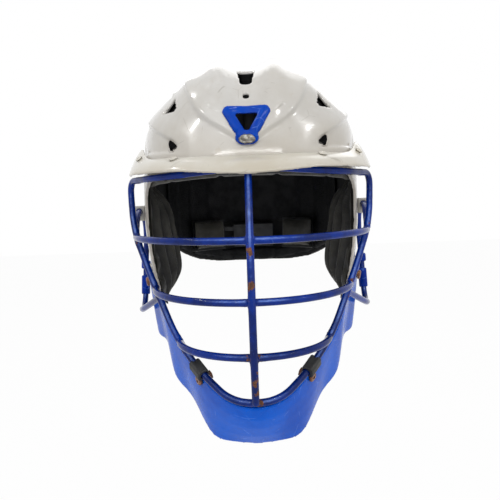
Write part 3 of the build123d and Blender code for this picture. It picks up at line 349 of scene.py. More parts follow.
def plus(tree, first, second):
    return math_node(tree, "ADD", first, second)


def minus(tree, first, second):
    return math_node(tree, "SUBTRACT", first, second)


def scaled(tree, value, share):
    """The value times a plain share."""
    return math_node(tree, "MULTIPLY", value, share)


def uneven(tree, scale, low, high, detail=4.0):
    """A slowly changing number between low and high, mostly for roughness."""
    return ranged(tree, noise(tree, place_on_object(tree), scale, detail), 0.3, 0.7, low, high)


# %% Colour drift
def build_colour_drift():
    """Slow and fine noise mix two near colours."""
    group, start, end = new_group("Colour drift", [
        ("First", "NodeSocketColor", (0.5, 0.5, 0.5, 1)), ("Second", "NodeSocketColor", (0.4, 0.4, 0.4, 1)),
        ("Scale", "NodeSocketFloat", 20.0)], [("Color", "NodeSocketColor")])
    place = place_on_object(group)
    slow = noise(group, place, start.outputs["Scale"], 2.0)
    quick = noise(group, place, scaled(group, start.outputs["Scale"], 7.3), 4.0, 0.6)
    both = plus(group, scaled(group, slow, 0.7), scaled(group, quick, 0.3))
    share = ranged(group, both, 0.34, 0.66)
    link(group, mixed(group, share, start.outputs["First"], start.outputs["Second"]), end.inputs["Color"])
    return group


colour_drift = build_colour_drift()
print("group", colour_drift.name)

# %% Blotches
def build_blotches():
    """A mask of irregular patches; Cover is the share of noise that they take, Bias adds given places."""
    group, start, end = new_group("Blotches", [
        ("Scale", "NodeSocketFloat", 60.0), ("Cover", "NodeSocketFloat", 0.3),
        ("Soft", "NodeSocketFloat", 0.05), ("Bias", "NodeSocketFloat", 0.0)], [("Mask", "NodeSocketFloat")])
    place = place_on_object(group)
    patchy = noise(group, place, start.outputs["Scale"], 6.0, 0.65)
    lifted = plus(group, patchy, start.outputs["Bias"])
    low = minus(group, 1.0, start.outputs["Cover"])
    high = plus(group, low, start.outputs["Soft"])
    link(group, ranged(group, lifted, low, high), end.inputs["Mask"])
    return group


blotches = build_blotches()
print("group", blotches.name)

# %% Scratches
def build_scratches():
    """Thin bent lines: the borders of stretched cells, kept only in a few broken stretches."""
    group, start, end = new_group("Scratches", [
        ("Scale", "NodeSocketFloat", 60.0), ("Width", "NodeSocketFloat", 0.02),
        ("Amount", "NodeSocketFloat", 0.4)], [("Mask", "NodeSocketFloat")])
    place = place_on_object(group)
    layers = []
    for turn, stretch in (((0.3, 0.9, 0.2), (1.0, 0.25, 0.8)), ((1.1, 0.2, 0.7), (0.3, 1.0, 0.6))):
        mapping = group.nodes.new("ShaderNodeMapping")
        link(group, place, mapping.inputs["Vector"])
        mapping.inputs["Rotation"].default_value = turn
        mapping.inputs["Scale"].default_value = stretch
        cells = group.nodes.new("ShaderNodeTexVoronoi")
        cells.feature = "DISTANCE_TO_EDGE"
        link(group, mapping.outputs["Vector"], cells.inputs["Vector"])
        link(group, start.outputs["Scale"], cells.inputs["Scale"])
        line = ranged(group, cells.outputs["Distance"], 0.0, start.outputs["Width"], 1.0, 0.0)
        gate_noise = noise(group, mapping.outputs["Vector"], scaled(group, start.outputs["Scale"], 1.7))
        limit = minus(group, 0.85, scaled(group, start.outputs["Amount"], 0.5))
        gate = ranged(group, gate_noise, limit, plus(group, limit, 0.06))
        layers.append(math_node(group, "MULTIPLY", line, gate))
    link(group, math_node(group, "MAXIMUM", layers[0], layers[1]), end.inputs["Mask"])
    return group


scratches = build_scratches()
print("group", scratches.name)

# %% Fine grain
def build_fine_grain():
    """Height for a moulded or sprayed surface: a slow orange-peel wave and a fine grain on it."""
    group, start, end = new_group("Fine grain", [
        ("Scale", "NodeSocketFloat", 300.0), ("Fine share", "NodeSocketFloat", 0.3)],
        [("Height", "NodeSocketFloat")])
    place = place_on_object(group)
    slow = noise(group, place, start.outputs["Scale"], 1.0)
    quick = noise(group, place, scaled(group, start.outputs["Scale"], 5.1), 3.0, 0.7)
    part = math_node(group, "MULTIPLY", quick, start.outputs["Fine share"])
    link(group, plus(group, slow, part), end.inputs["Height"])
    return group


fine_grain = build_fine_grain()
print("group", fine_grain.name)

# %% Dirt towards one height
def build_height_fade():
    """A mask that grows from Clean height to Dirty height, with a ragged border."""
    group, start, end = new_group("Height fade", [
        ("Clean height", "NodeSocketFloat", 0.05), ("Dirty height", "NodeSocketFloat", 0.0),
        ("Ragged", "NodeSocketFloat", 0.01)], [("Mask", "NodeSocketFloat")])
    place = place_on_object(group)
    apart = group.nodes.new("ShaderNodeSeparateXYZ")
    link(group, place, apart.inputs["Vector"])
    wobble = minus(group, noise(group, place, 35.0, 4.0, 0.6), 0.5)
    ragged = math_node(group, "MULTIPLY", wobble, start.outputs["Ragged"])
    height = plus(group, apart.outputs["Z"], ragged)
    mask = ranged(group, height, start.outputs["Dirty height"], start.outputs["Clean height"], 1.0, 0.0)
    link(group, mask, end.inputs["Mask"])
    return group


height_fade = build_height_fade()
print("group", height_fade.name)

# %% Knitted cloth
def build_knit():
    """Small rows of stitches as height, from two crossed waves, with fuzz on top."""
    group, start, end = new_group("Knit", [
        ("Scale", "NodeSocketFloat", 900.0), ("Fuzz", "NodeSocketFloat", 0.5)],
        [("Height", "NodeSocketFloat")])
    place = place_on_object(group)
    waves = []
    for direction in ("DIAGONAL", "Z"):
        wave = group.nodes.new("ShaderNodeTexWave")
        wave.bands_direction = direction
        link(group, place, wave.inputs["Vector"])
        link(group, start.outputs["Scale"], wave.inputs["Scale"])
        wave.inputs["Distortion"].default_value = 1.5
        waves.append(wave.outputs["Fac"])
    cross = math_node(group, "MULTIPLY", waves[0], waves[1])
    lint = noise(group, place, scaled(group, start.outputs["Scale"], 2.0))
    fuzz = math_node(group, "MULTIPLY", lint, start.outputs["Fuzz"])
    link(group, plus(group, cross, fuzz), end.inputs["Height"])
    return group


knit = build_knit()
print("group", knit.name)

# %% Foam beads
def build_foam_beads():
    """Moulded bead foam: cells with a lower joint line between them."""
    group, start, end = new_group("Foam beads", [("Scale", "NodeSocketFloat", 350.0)],
                                  [("Height", "NodeSocketFloat"), ("Joint", "NodeSocketFloat")])
    cells = group.nodes.new("ShaderNodeTexVoronoi")
    cells.feature = "DISTANCE_TO_EDGE"
    link(group, place_on_object(group), cells.inputs["Vector"])
    link(group, start.outputs["Scale"], cells.inputs["Scale"])
    link(group, ranged(group, cells.outputs["Distance"], 0.0, 0.16), end.inputs["Height"])
    link(group, ranged(group, cells.outputs["Distance"], 0.0, 0.07, 1.0, 0.0), end.inputs["Joint"])
    return group


foam_beads = build_foam_beads()
print("group", foam_beads.name)

# %% [markdown]
# ## Materials
# Every material starts the same way: a Principled shader, whose plain numbers are set on its own
# sockets, and groups that feed its colour, roughness and bump.

# %% Material kit
def new_material(title, **plain):
    """A material with a Principled shader and the plain socket values given."""
    material = bpy.data.materials.new(title)
    material.use_nodes = True
    shader = material.node_tree.nodes["Principled BSDF"]
    for name, value in plain.items():
        shader.inputs[name.replace("_", " ")].default_value = value
    return material, material.node_tree, shader


def use(tree, group, **values):
    """Places a shared group; its sockets take numbers, colours or links."""
    node = tree.nodes.new("ShaderNodeGroup")
    node.node_tree = group
    for name, value in values.items():
        socket = node.inputs[name.replace("_", " ")]
        if isinstance(value, (int, float, tuple)):
            socket.default_value = value
        else:
            link(tree, value, socket)
    return node


def painted(tree, title):
    """The number painted on the mesh's points under that title."""
    node = tree.nodes.new("ShaderNodeAttribute")
    node.attribute_name = title
    return node.outputs["Fac"]


def bumped(tree, shader, height, strength, depth):
    node = tree.nodes.new("ShaderNodeBump")
    node.inputs["Strength"].default_value = strength
    node.inputs["Distance"].default_value = depth
    link(tree, height, node.inputs["Height"])
    link(tree, node.outputs["Normal"], shader.inputs["Normal"])


def colour(red, green, blue):
    """A colour as a picture file writes it, 0 to 255, in the linear form that nodes use."""
    parts = []
    for value in (red, green, blue):
        share = value / 255
        parts.append(share / 12.92 if share <= 0.04045 else ((share + 0.055) / 1.055) ** 2.4)
    return (*parts, 1.0)


# %% [markdown]
# The shell is glossy polycarbonate, once white. It has yellowed and is dirtier towards the rim and on
# the visor, and games have left smudges and fine scratches in the gloss. Its inner face is painted
# near-black as shade, and a number painted on the mesh says where that painted shade lies.

# %% White shell plastic
def shell_plastic(title, clean, warm, dirt, clean_height, dirty_height, stain):
    material, tree, shader = new_material(title, Coat_Roughness=0.05, Specular_IOR_Level=0.45)
    base = use(tree, colour_drift, First=clean, Second=warm, Scale=14.0)
    low = use(tree, height_fade, Clean_height=clean_height, Dirty_height=dirty_height, Ragged=0.03)
    yellowed = mixed(tree, scaled(tree, low.outputs["Mask"], stain), base.outputs["Color"], dirt)
    smudge = use(tree, blotches, Scale=70.0, Cover=0.40, Soft=0.12)
    smudged = mixed(tree, scaled(tree, smudge.outputs["Mask"], 0.22), yellowed, dirt)
    marks = use(tree, scratches, Scale=42.0, Width=0.012, Amount=0.55)
    scored = mixed(tree, scaled(tree, marks.outputs["Mask"], 0.45), smudged, colour(120, 112, 98))
    # Painted shade: the marked inner face is coloured near-black and made duller.
    painted_shade_tone = use(tree, colour_drift, First=colour(20, 20, 20), Second=colour(11, 12, 13), Scale=40.0)
    inner_shade_mask = painted(tree, "inner_shade_mask")
    link(tree, mixed(tree, inner_shade_mask, scored, painted_shade_tone.outputs["Color"]), shader.inputs["Base Color"])
    gloss = uneven(tree, 55.0, 0.10, 0.24, detail=5.0)
    marked = plus(tree, gloss, scaled(tree, marks.outputs["Mask"], 0.3))
    link(tree, plus(tree, marked, scaled(tree, inner_shade_mask, 0.6)), shader.inputs["Roughness"])
    coat = minus(tree, 0.3, scaled(tree, inner_shade_mask, 0.3))
    link(tree, coat, shader.inputs["Coat Weight"])
    peel = use(tree, fine_grain, Scale=170.0, Fine_share=0.12)
    height = minus(tree, peel.outputs["Height"], marks.outputs["Mask"])
    bumped(tree, shader, height, 0.25, 0.12 * MM)
    return material


SHELL_CLEAN = colour(203, 201, 197)
SHELL_WARM = colour(192, 188, 181)
SHELL_DIRT = colour(168, 152, 122)
SHELL_CLEAN_HEIGHT = 60.0 * MM
SHELL_DIRTY_HEIGHT = 5.0 * MM
VISOR_CLEAN_HEIGHT = 20.0 * MM
VISOR_DIRTY_HEIGHT = 2.0 * MM

# %% [markdown]
# The cage is carbon steel wire under a thick blue powder paint. The paint has chipped at the welds
# and where sticks strike it, and brown rust shows there. A number painted on the mesh says how near
# a weld each point is, and the rust grows from those places. Another marks the faces on the upper
# front of each wire that mirror the strip lamp to the camera, and a paler blue is painted there as a
# highlight.

# %% Blue painted wire
def painted_wire(title):
    material, tree, shader = new_material(title, Specular_IOR_Level=0.18)
    base = use(tree, colour_drift, First=colour(0, 46, 142), Second=colour(0, 26, 90), Scale=26.0)
    scuff = use(tree, scratches, Scale=95.0, Width=0.02, Amount=0.5)
    lighter = mixed(tree, scaled(tree, scuff.outputs["Mask"], 0.3), base.outputs["Color"],
                    colour(70, 110, 205))
    # Painted highlight: a paler blue, in streaks, on the upper front faces that mirror the strip lamp to the
    # camera.
    streaks = ranged(tree, noise(tree, place_on_object(tree), 75.0), 0.35, 0.6, 0.2, 0.75)
    painted_glint = math_node(tree, "MULTIPLY", painted(tree, "painted_glint"), streaks)
    wire_with_painted_glint = mixed(tree, painted_glint, lighter, colour(108, 140, 220))
    grime = use(tree, blotches, Scale=130.0, Cover=0.38, Soft=0.1)
    darker = mixed(tree, scaled(tree, grime.outputs["Mask"], 0.3), wire_with_painted_glint, colour(6, 12, 44))
    bias = scaled(tree, painted(tree, "rust"), 0.42)
    rust = use(tree, blotches, Scale=240.0, Cover=0.24, Soft=0.035, Bias=bias)
    browns = use(tree, colour_drift, First=colour(122, 78, 52), Second=colour(74, 52, 44), Scale=420.0)
    rusted = mixed(tree, rust.outputs["Mask"], darker, browns.outputs["Color"])
    link(tree, rusted, shader.inputs["Base Color"])
    dull = plus(tree, uneven(tree, 120.0, 0.05, 0.14), scaled(tree, rust.outputs["Mask"], 0.5))
    link(tree, dull, shader.inputs["Roughness"])
    peel = use(tree, fine_grain, Scale=260.0, Fine_share=0.2)
    pits = minus(tree, peel.outputs["Height"], scaled(tree, rust.outputs["Mask"], 1.6))
    bumped(tree, shader, pits, 0.35, 0.2 * MM)
    return material


# %% [markdown]
# The chin guard, the trim of the front vent and the strap fittings are moulded in a blue plastic that
# is coloured all through, so a scratch shows pale rather than rusty.

# %% Blue moulded plastic
def blue_plastic(title, deep, bright, gloss):
    material, tree, shader = new_material(title, Specular_IOR_Level=0.1)
    base = use(tree, colour_drift, First=deep, Second=bright, Scale=18.0)
    bias = scaled(tree, painted(tree, "edge"), 0.22)
    worn = use(tree, blotches, Scale=85.0, Cover=0.16, Soft=0.1, Bias=bias)
    rubbed = mixed(tree, scaled(tree, worn.outputs["Mask"], 0.28), base.outputs["Color"],
                   colour(60, 128, 235))
    marks = use(tree, scratches, Scale=55.0, Width=0.014, Amount=0.6)
    scored = mixed(tree, scaled(tree, marks.outputs["Mask"], 0.35), rubbed, colour(120, 165, 245))
    link(tree, scored, shader.inputs["Base Color"])
    patchy = uneven(tree, 60.0, gloss, gloss + 0.16, detail=5.0)
    dull = plus(tree, patchy, scaled(tree, worn.outputs["Mask"], 0.1))
    link(tree, dull, shader.inputs["Roughness"])
    peel = use(tree, fine_grain, Scale=260.0, Fine_share=0.2)
    height = minus(tree, peel.outputs["Height"], marks.outputs["Mask"])
    bumped(tree, shader, height, 0.3, 0.12 * MM)
    return material


# %% [markdown]
# Clips, the cradle and its dial are plain black or white plastic with a spark-eroded mould grain,
# polished where fingers and wire rub it.

# %% Small plastic parts
def grained_plastic(title, dark, light, rough, grain=700.0):
    material, tree, shader = new_material(title, Specular_IOR_Level=0.5)
    base = use(tree, colour_drift, First=dark, Second=light, Scale=60.0)
    dust = use(tree, blotches, Scale=160.0, Cover=0.34, Soft=0.16)
    dusty = mixed(tree, scaled(tree, dust.outputs["Mask"], 0.18), base.outputs["Color"],
                  colour(132, 124, 110))
    link(tree, dusty, shader.inputs["Base Color"])
    link(tree, uneven(tree, 140.0, rough, rough + 0.2), shader.inputs["Roughness"])
    skin = use(tree, fine_grain, Scale=grain, Fine_share=0.5)
    bumped(tree, shader, skin.outputs["Height"], 0.4, 0.1 * MM)
    return material


# %% [markdown]
# The screws are plated steel. Sweat has taken the plating off those near the face, so they are copper
# brown with dark pits, while the others are grey and only stained.

# %% Screws
def plated_steel(title, plate, stained, rusty):
    material, tree, shader = new_material(title)
    metal = use(tree, colour_drift, First=plate, Second=stained, Scale=300.0)
    rust = use(tree, blotches, Scale=420.0, Cover=rusty, Soft=0.12)
    browns = use(tree, colour_drift, First=colour(126, 78, 54), Second=colour(70, 46, 36), Scale=700.0)
    rusted = mixed(tree, rust.outputs["Mask"], metal.outputs["Color"], browns.outputs["Color"])
    bare = minus(tree, 0.9, scaled(tree, rust.outputs["Mask"], 0.75))
    dull = plus(tree, 0.3, scaled(tree, rust.outputs["Mask"], 0.4))
    link(tree, rusted, shader.inputs["Base Color"])
    link(tree, bare, shader.inputs["Metallic"])
    link(tree, dull, shader.inputs["Roughness"])
    grain = use(tree, fine_grain, Scale=900.0, Fine_share=0.6)
    pits = minus(tree, grain.outputs["Height"], rust.outputs["Mask"])
    bumped(tree, shader, pits, 0.5, 0.15 * MM)
    return material


# %% [markdown]
# The pads against the face are soft foam in a knitted cloth of dark grey, a little brown with age, and
# it has a faint sheen where it turns away. The sheen is a plain number on the shader. Painted shade
# darkens the sewn channels towards black.

# %% Padding cloth
def pad_cloth(title, dark, light):
    plain = {"Sheen_Weight": 0.25, "Sheen_Roughness": 0.4, "Specular_IOR_Level": 0.4}
    material, tree, shader = new_material(title, **plain)
    base = use(tree, colour_drift, First=dark, Second=light, Scale=34.0)
    lint = use(tree, blotches, Scale=260.0, Cover=0.30, Soft=0.05)
    linted = mixed(tree, scaled(tree, lint.outputs["Mask"], 0.28), base.outputs["Color"], colour(96, 92, 82))
    # Painted shade: the pressed channels are darkened towards black.
    shaded_channels = mixed(tree, scaled(tree, painted(tree, "groove"), 0.75), linted, colour(10, 10, 10))
    link(tree, shaded_channels, shader.inputs["Base Color"])
    link(tree, uneven(tree, 90.0, 0.5, 0.78), shader.inputs["Roughness"])
    stitches = use(tree, knit, Scale=260.0, Fuzz=0.6)
    bumped(tree, shader, stitches.outputs["Height"], 0.55, 0.4 * MM)
    return material


# %% [markdown]
# The liner that takes the blows is black moulded bead foam, whose beads can be seen from near by.

# %% Bead foam
def bead_foam(title):
    material, tree, shader = new_material(title, Specular_IOR_Level=0.3)
    base = use(tree, colour_drift, First=colour(14, 15, 17), Second=colour(8, 9, 11), Scale=45.0)
    beads = use(tree, foam_beads, Scale=330.0)
    jointed = mixed(tree, scaled(tree, beads.outputs["Joint"], 0.6), base.outputs["Color"], colour(5, 5, 6))
    dust = use(tree, blotches, Scale=120.0, Cover=0.30, Soft=0.15)
    dusty = mixed(tree, scaled(tree, dust.outputs["Mask"], 0.12), jointed, colour(90, 88, 80))
    link(tree, dusty, shader.inputs["Base Color"])
    link(tree, uneven(tree, 80.0, 0.55, 0.85), shader.inputs["Roughness"])
    bumped(tree, shader, beads.outputs["Height"], 0.5, 0.4 * MM)
    return material


# %% All finishes by slot
finishes = {
    "shell_white": shell_plastic("shell_plastic", SHELL_CLEAN, SHELL_WARM, SHELL_DIRT,
                                 SHELL_CLEAN_HEIGHT, SHELL_DIRTY_HEIGHT, 0.35),
    "visor_white": shell_plastic("visor_plastic", colour(208, 204, 194), colour(200, 194, 180), SHELL_DIRT,
                                 VISOR_CLEAN_HEIGHT, VISOR_DIRTY_HEIGHT, 0.3),
    "trim_blue": blue_plastic("trim_plastic", colour(0, 56, 160), colour(0, 72, 186), 0.06),
    "badge_grey": plated_steel("badge_metal", colour(150, 148, 142), colour(96, 92, 84), 0.42),
    "guard_blue": painted_wire("wire_paint"),
    "chin_blue": blue_plastic("chin_plastic", colour(0, 78, 190), colour(0, 96, 216), 0.06),
    "clip_black": grained_plastic("black_rubber", colour(26, 27, 29), colour(46, 46, 46), 0.5),
    "clip_white": grained_plastic("white_clip_plastic", colour(198, 196, 190), colour(182, 178, 168), 0.35),
    "fitting_blue": blue_plastic("fitting_plastic", colour(0, 34, 122), colour(0, 50, 158), 0.2),
    "screw_rust": plated_steel("rusty_screw_steel", colour(150, 104, 78), colour(112, 78, 58), 0.52),
    "screw_steel": plated_steel("plated_screw_steel", colour(178, 176, 170), colour(128, 124, 116), 0.38),
    "liner_black": bead_foam("liner_foam"),
    "pad_dark": pad_cloth("pad_cloth", colour(46, 45, 41), colour(68, 66, 58)),
    "fit_black": grained_plastic("cradle_plastic", colour(13, 14, 15), colour(22, 23, 24), 0.38),
    "bracket_grey": grained_plastic("bracket_plastic", colour(58, 59, 60), colour(78, 78, 76), 0.45),
}
slot_of = {part["node"]: part["material_slot"] for part in frame["record"]["subparts"]}
for node, solid in frame["nodes"].items():
    solid.data.materials.clear()
    solid.data.materials.append(finishes[slot_of[node]])
print("finishes:", len(finishes))


def finish_with(piece, slot):
    piece.data.materials.clear()
    piece.data.materials.append(finishes[slot])


# %% [markdown]
# ## The shell
# Both halves are pressed sheet. The front half carries two humps beside a valley, a raised shield that
# ends in a fold above the visor, and folds that run from the side vents to the corner of the temple.

# %% Folds of the shell
SHIELD_EDGE = [(8.1, -117.7, 32.2), (19.8, -114.2, 40.1), (29.6, -111.1, 46.1), (37.6, -105.9, 53.2),
               (43.0, -99.2, 60.2), (48.6, -85.0, 72.1), (52.0, -70.0, 82.0)]
UPPER_RIDGE = [(19.1, -108.7, 54.2), (23.6, -107.8, 57.0), (28.9, -106.3, 59.6)]
VENT_RIB = [(66.2, -50.6, 80.9), (61.8, -75.6, 69.0), (59.6, -86.2, 60.4)]
TEMPLE_FOLD = [(70.2, -91.5, 38.3), (79.7, -75.8, 45.0), (92.0, -45.0, 55.0), (102.0, -10.0, 62.0)]
LOWER_FOLD = [(69.3, -97.8, 25.1), (79.4, -86.3, 25.8), (93.3, -59.7, 26.8), (101.0, -30.0, 27.5)]
SIDE_RIDGE = [(104.0, -12.0, 62.0), (106.0, -14.0, 45.0), (106.0, -18.0, 28.0)]
VALLEY_LINES = [[(x, -96.0, 66.0), (x + 1.5, -84.0, 80.0), (x + 4.0, -66.0, 92.0)] for x in (9.0, 13.5)]

shell_folds = [
    {"line": SHIELD_EDGE, "profile": ledge(height=2.6, half_width=2.2, fade=15.0)},
    {"line": UPPER_RIDGE, "profile": ridge(height=1.1, half_width=1.8)},
    {"line": VENT_RIB, "profile": ridge(height=1.5, half_width=2.0)},
    {"line": TEMPLE_FOLD, "profile": ledge(height=2.8, half_width=2.0, fade=14.0)},
    {"line": LOWER_FOLD, "profile": ledge(height=-2.4, half_width=2.0, fade=13.0)},
    {"line": SIDE_RIDGE, "profile": ridge(height=2.2, half_width=3.0)},
]
shell_folds += [{"line": line, "profile": ridge(height=0.9, half_width=1.4)} for line in VALLEY_LINES]

# %% Shell halves
SHELL_SQUARE = 1.35 * MM
SHELL_ROUNDS = 10


def facing_of(piece, middle):
    """For each point: 1 where it faces straight away from the middle, -1 where it faces it."""
    away = points_of(piece) - middle
    return (normals_of(piece) * away).sum(1) / np.linalg.norm(away, axis=1)


def outer_side(piece, middle):
    """1 on points that face away from the middle, 0 on those that face it."""
    return smooth_step(facing_of(piece, middle), 0.1, 0.35)


def make_shell(node, title, folds, rim_shaded):
    """A moulded half; its inner face, and also its rim when asked, is painted near-black as shade."""
    piece = moulded([node], title, SHELL_SQUARE, SHELL_ROUNDS)
    raise_folds(piece, folds, outer_side(piece, SHELL_MIDDLE))
    # Marks the inner face for painted shade; with the rim flag set, the rim too.
    low, high = (-0.3, 0.1) if rim_shaded else (0.4, 0.7)
    paint(piece, "inner_shade_mask", smooth_step(-facing_of(piece, SHELL_MIDDLE), low, high))
    finish_with(piece, slot_of[node])
    stands_for(piece, [node])


make_shell("front_shell", "shell_front_half", shell_folds, rim_shaded=False)
make_shell("rear_shell", "shell_rear_half", shell_folds, rim_shaded=True)

# %% [markdown]
# ## The visor
# The visor is a separate moulding that is screwed to the brow. Its lip is rolled, so the remesh is
# fine enough to round it.

# %% Visor
VISOR_SQUARE = 1.1 * MM
VISOR_ROUNDS = 10

visor = moulded(["visor"], "visor_moulding", VISOR_SQUARE, VISOR_ROUNDS)
finish_with(visor, "visor_white")
stands_for(visor, ["visor"])

# %% [markdown]
# ## The cage
# Welders cross the wires and melt them together, so each crossing has a small swelling. Joining the
# wires before the remesh melts them into one surface in the same way, and smoothing leaves a fillet.

# %% Where the wires are welded
WIRE_NODES = ["guard_frame_wire", "guard_top_wire", "guard_upper_bar", "guard_middle_bar", "guard_lower_bar",
              "guard_centre_bar", "guard_loop_left", "guard_loop_right"]
WELD_REACH = 3.2 * MM
WELD_SPACING = 9.0 * MM


def weld_places():
    """The middle of each place where two different wires come close."""
    places = []
    clouds = {node: points_of(frame["nodes"][node]) for node in WIRE_NODES}
    for index, first in enumerate(WIRE_NODES):
        for second in WIRE_NODES[index + 1:]:
            near = []
            for block in np.array_split(clouds[first], 1 + len(clouds[first]) // 400):
                gaps = np.linalg.norm(block[:, None] - clouds[second][None], axis=2).min(1)
                near.extend(block[gaps < WELD_REACH])
            for point in near:
                if all(np.linalg.norm(point - place) > WELD_SPACING for place in places):
                    places.append(point)
    return np.array(places)


welds = weld_places()
print("welds:", len(welds))

# %% Rust places and the joined cage
RUST_SPOTS = [(-31.0, -152.3, -48.0), (0.0, -168.9, -56.0), (0.4, -172.9, -79.0), (1.7, -168.6, -126.0),
              (1.5, -167.0, -134.0), (1.7, -166.0, -143.0), (0.9, -168.9, -153.0), (1.0, -163.0, -162.0),
              (2.0, -158.0, -173.0), (-88.0, -95.0, -95.0), (88.0, -96.0, -92.0)]


RUST_REACH = 5.0 * MM
WELD_RUST_SHARE = 0.55
# The facing that gets the painted highlight: faces turned this way mirror the strip lamp to the camera.
PAINTED_GLINT_FACING = np.array((0.0, -0.89, 0.45))
CAGE_SQUARE = 0.95 * MM
CAGE_ROUNDS = 5
SWELL_REACH = 5.0 * MM
SWELL = 0.35 * MM
SWELL_RIPPLE = 0.25 * MM
RIPPLE_WAVES = np.array(((2.1, 1.7, 2.6), (-1.9, 2.3, 1.5))) / MM


def nearness(points, places, reach):
    """1 at a place, falling to 0 beyond its reach."""
    gap = np.full(len(points), 1e9)
    for place in places:
        gap = np.minimum(gap, np.linalg.norm(points - place, axis=1))
    return np.exp(-(gap / reach) ** 2)


def make_cage():
    cage = moulded(WIRE_NODES, "guard_welded_wires", CAGE_SQUARE, CAGE_ROUNDS)
    points, normals = points_of(cage), normals_of(cage)
    at_weld = nearness(points, welds, SWELL_REACH)
    ripple = np.sin(points @ RIPPLE_WAVES[0]) * np.sin(points @ RIPPLE_WAVES[1])
    move_points(cage, points + normals * (at_weld * (SWELL + SWELL_RIPPLE * ripple))[:, None])
    rust = np.maximum(WELD_RUST_SHARE * at_weld, nearness(points, np.array(RUST_SPOTS) * MM, RUST_REACH))
    paint(cage, "rust", rust)
    # Painted highlight: marks the wire faces that mirror the strip lamp to the camera.
    paint(cage, "painted_glint", smooth_step(normals @ PAINTED_GLINT_FACING, 0.92, 0.99))
    finish_with(cage, "guard_blue")
    stands_for(cage, WIRE_NODES)


make_cage()

# %% [markdown]
# ## The chin guard
# One thick moulding closes the cage below. A long rib and a flute on each side stiffen it.

# %% Chin guard
CHIN_SQUARE = 1.2 * MM
CHIN_ROUNDS = 9
CHIN_MIDDLE = np.array((0.0, -60.0, -150.0)) * MM
CHIN_RIB = [(84.0, -96.0, -112.0), (76.0, -108.0, -140.0), (66.0, -118.0, -165.0)]
CHIN_FLUTE = [(92.0, -88.0, -112.0), (86.0, -98.0, -140.0), (74.0, -108.0, -168.0)]


def make_chin_guard():
    piece = moulded(["chin_guard"], "chin_moulding", CHIN_SQUARE, CHIN_ROUNDS)
    flutes = [
        {"line": CHIN_RIB, "profile": ridge(height=1.1, half_width=2.4)},
        {"line": CHIN_FLUTE, "profile": ridge(height=-1.1, half_width=2.6)},
    ]
    raise_folds(piece, flutes, outer_side(piece, CHIN_MIDDLE))
    finish_with(piece, "chin_blue")
    stands_for(piece, ["chin_guard"])


make_chin_guard()

# %% [markdown]
# ## Small mouldings
# Trim and clips are small, but their rounded edges catch the light, so they get fine remeshes too.
# The trim and its badge lie on the front half, so the shell's folds lift them with it.

# %% Trim and clips
# Each row holds the CAD node, the new piece's name, its square in millimetres and its rounds.
SMALL_MOULDINGS = [
    ("vent_trim", "front_vent_trim", 0.5, 8),
    ("trim_badge", "front_trim_badge", 0.35, 3),
    ("visor_screws", "visor_screw_caps", 0.4, 4),
    ("top_clip_left", "visor_clip_left", 0.5, 4),
    ("top_clip_right", "visor_clip_right", 0.5, 4),
    ("chin_clip_left", "chin_rubber_clip_left", 0.5, 4),
    ("chin_clip_right", "chin_rubber_clip_right", 0.5, 4),
    ("loop_clip_left", "jaw_clip_left", 0.5, 4),
    ("loop_clip_right", "jaw_clip_right", 0.5, 4),
    ("loop_collar_left", "strap_knob_left", 0.4, 4),
    ("loop_collar_right", "strap_knob_right", 0.4, 4),
    ("strap_hook_left", "strap_oval_left", 0.4, 4),
    ("strap_hook_right", "strap_oval_right", 0.4, 4),
]
TRIM_FRAME = [(0.0, -107.1, 56.8), (8.0, -107.5, 57.2), (14.6, -108.4, 56.6), (15.4, -109.3, 55.0),
              (11.0, -113.3, 46.8), (7.6, -116.4, 39.6)]
trim_roll = [{"line": TRIM_FRAME, "profile": ridge(height=1.1, half_width=2.4)}]
lifted_nodes = {"vent_trim": shell_folds + trim_roll, "trim_badge": shell_folds}
for node, title, square, rounds in SMALL_MOULDINGS:
    small = moulded([node], title, square * MM, rounds)
    if node in lifted_nodes:
        raise_folds(small, lifted_nodes[node], outer_side(small, SHELL_MIDDLE))
    finish_with(small, slot_of[node])
    stands_for(small, [node])

# %% [markdown]
# ## Padding
# A pad is foam in a cloth skin that is a little too small for it, so its faces bulge and its corners
# pull in. A cloth simulation shows that: the skin starts slightly small, gets air pressure from
# inside, and settles in twenty steps. Sewn channels are pressed in afterwards, because the remesh
# would lose them.

# %% Puffing a pad
PAD_SQUARE = 4.0 * MM
PAD_STEPS = 20
PAD_PRESSURE = 4.0


def shrunk(piece, inset):
    points = points_of(piece)
    move_points(piece, points - normals_of(piece) * inset)


def puffed(nodes, title, inset, most, square=PAD_SQUARE):
    """A cloth-skinned copy of foam solids; no point moves further than most."""
    piece = remeshed(joined_copy(nodes, title), square, 3)
    shrunk(piece, inset)
    before = points_of(piece)
    cloth = piece.modifiers.new("skin", "CLOTH")
    cloth.settings.use_pressure = True
    cloth.settings.uniform_pressure_force = PAD_PRESSURE
    cloth.settings.effector_weights.gravity = 0
    cloth.settings.quality = 4
    for step in range(1, PAD_STEPS + 1):
        scene.frame_set(step)
    shown = bpy.context.evaluated_depsgraph_get()
    mesh = bpy.data.meshes.new_from_object(piece.evaluated_get(shown))
    piece.modifiers.clear()
    piece.data = mesh
    moved = points_of(piece) - before
    length = np.linalg.norm(moved, axis=1)
    kept = np.minimum(length, most) / np.maximum(length, 1e-9)
    move_points(piece, before + moved * kept[:, None])
    scene.frame_set(1)
    finer = piece.modifiers.new("finer", "SUBSURF")
    finer.levels = 1
    finer.render_levels = 1
    return settle(piece)


def pressed(piece, depth, groove):
    """Presses channels in: groove is 1 in a channel and 0 on a roll."""
    points, normals = points_of(piece), normals_of(piece)
    move_points(piece, points - normals * (groove * depth)[:, None])
    paint(piece, "groove", groove)


def channel(values, places, half_width):
    gap = np.full(len(values), 1e9)
    for place in places:
        gap = np.minimum(gap, np.abs(values - place))
    return np.exp(-(gap / half_width) ** 2)


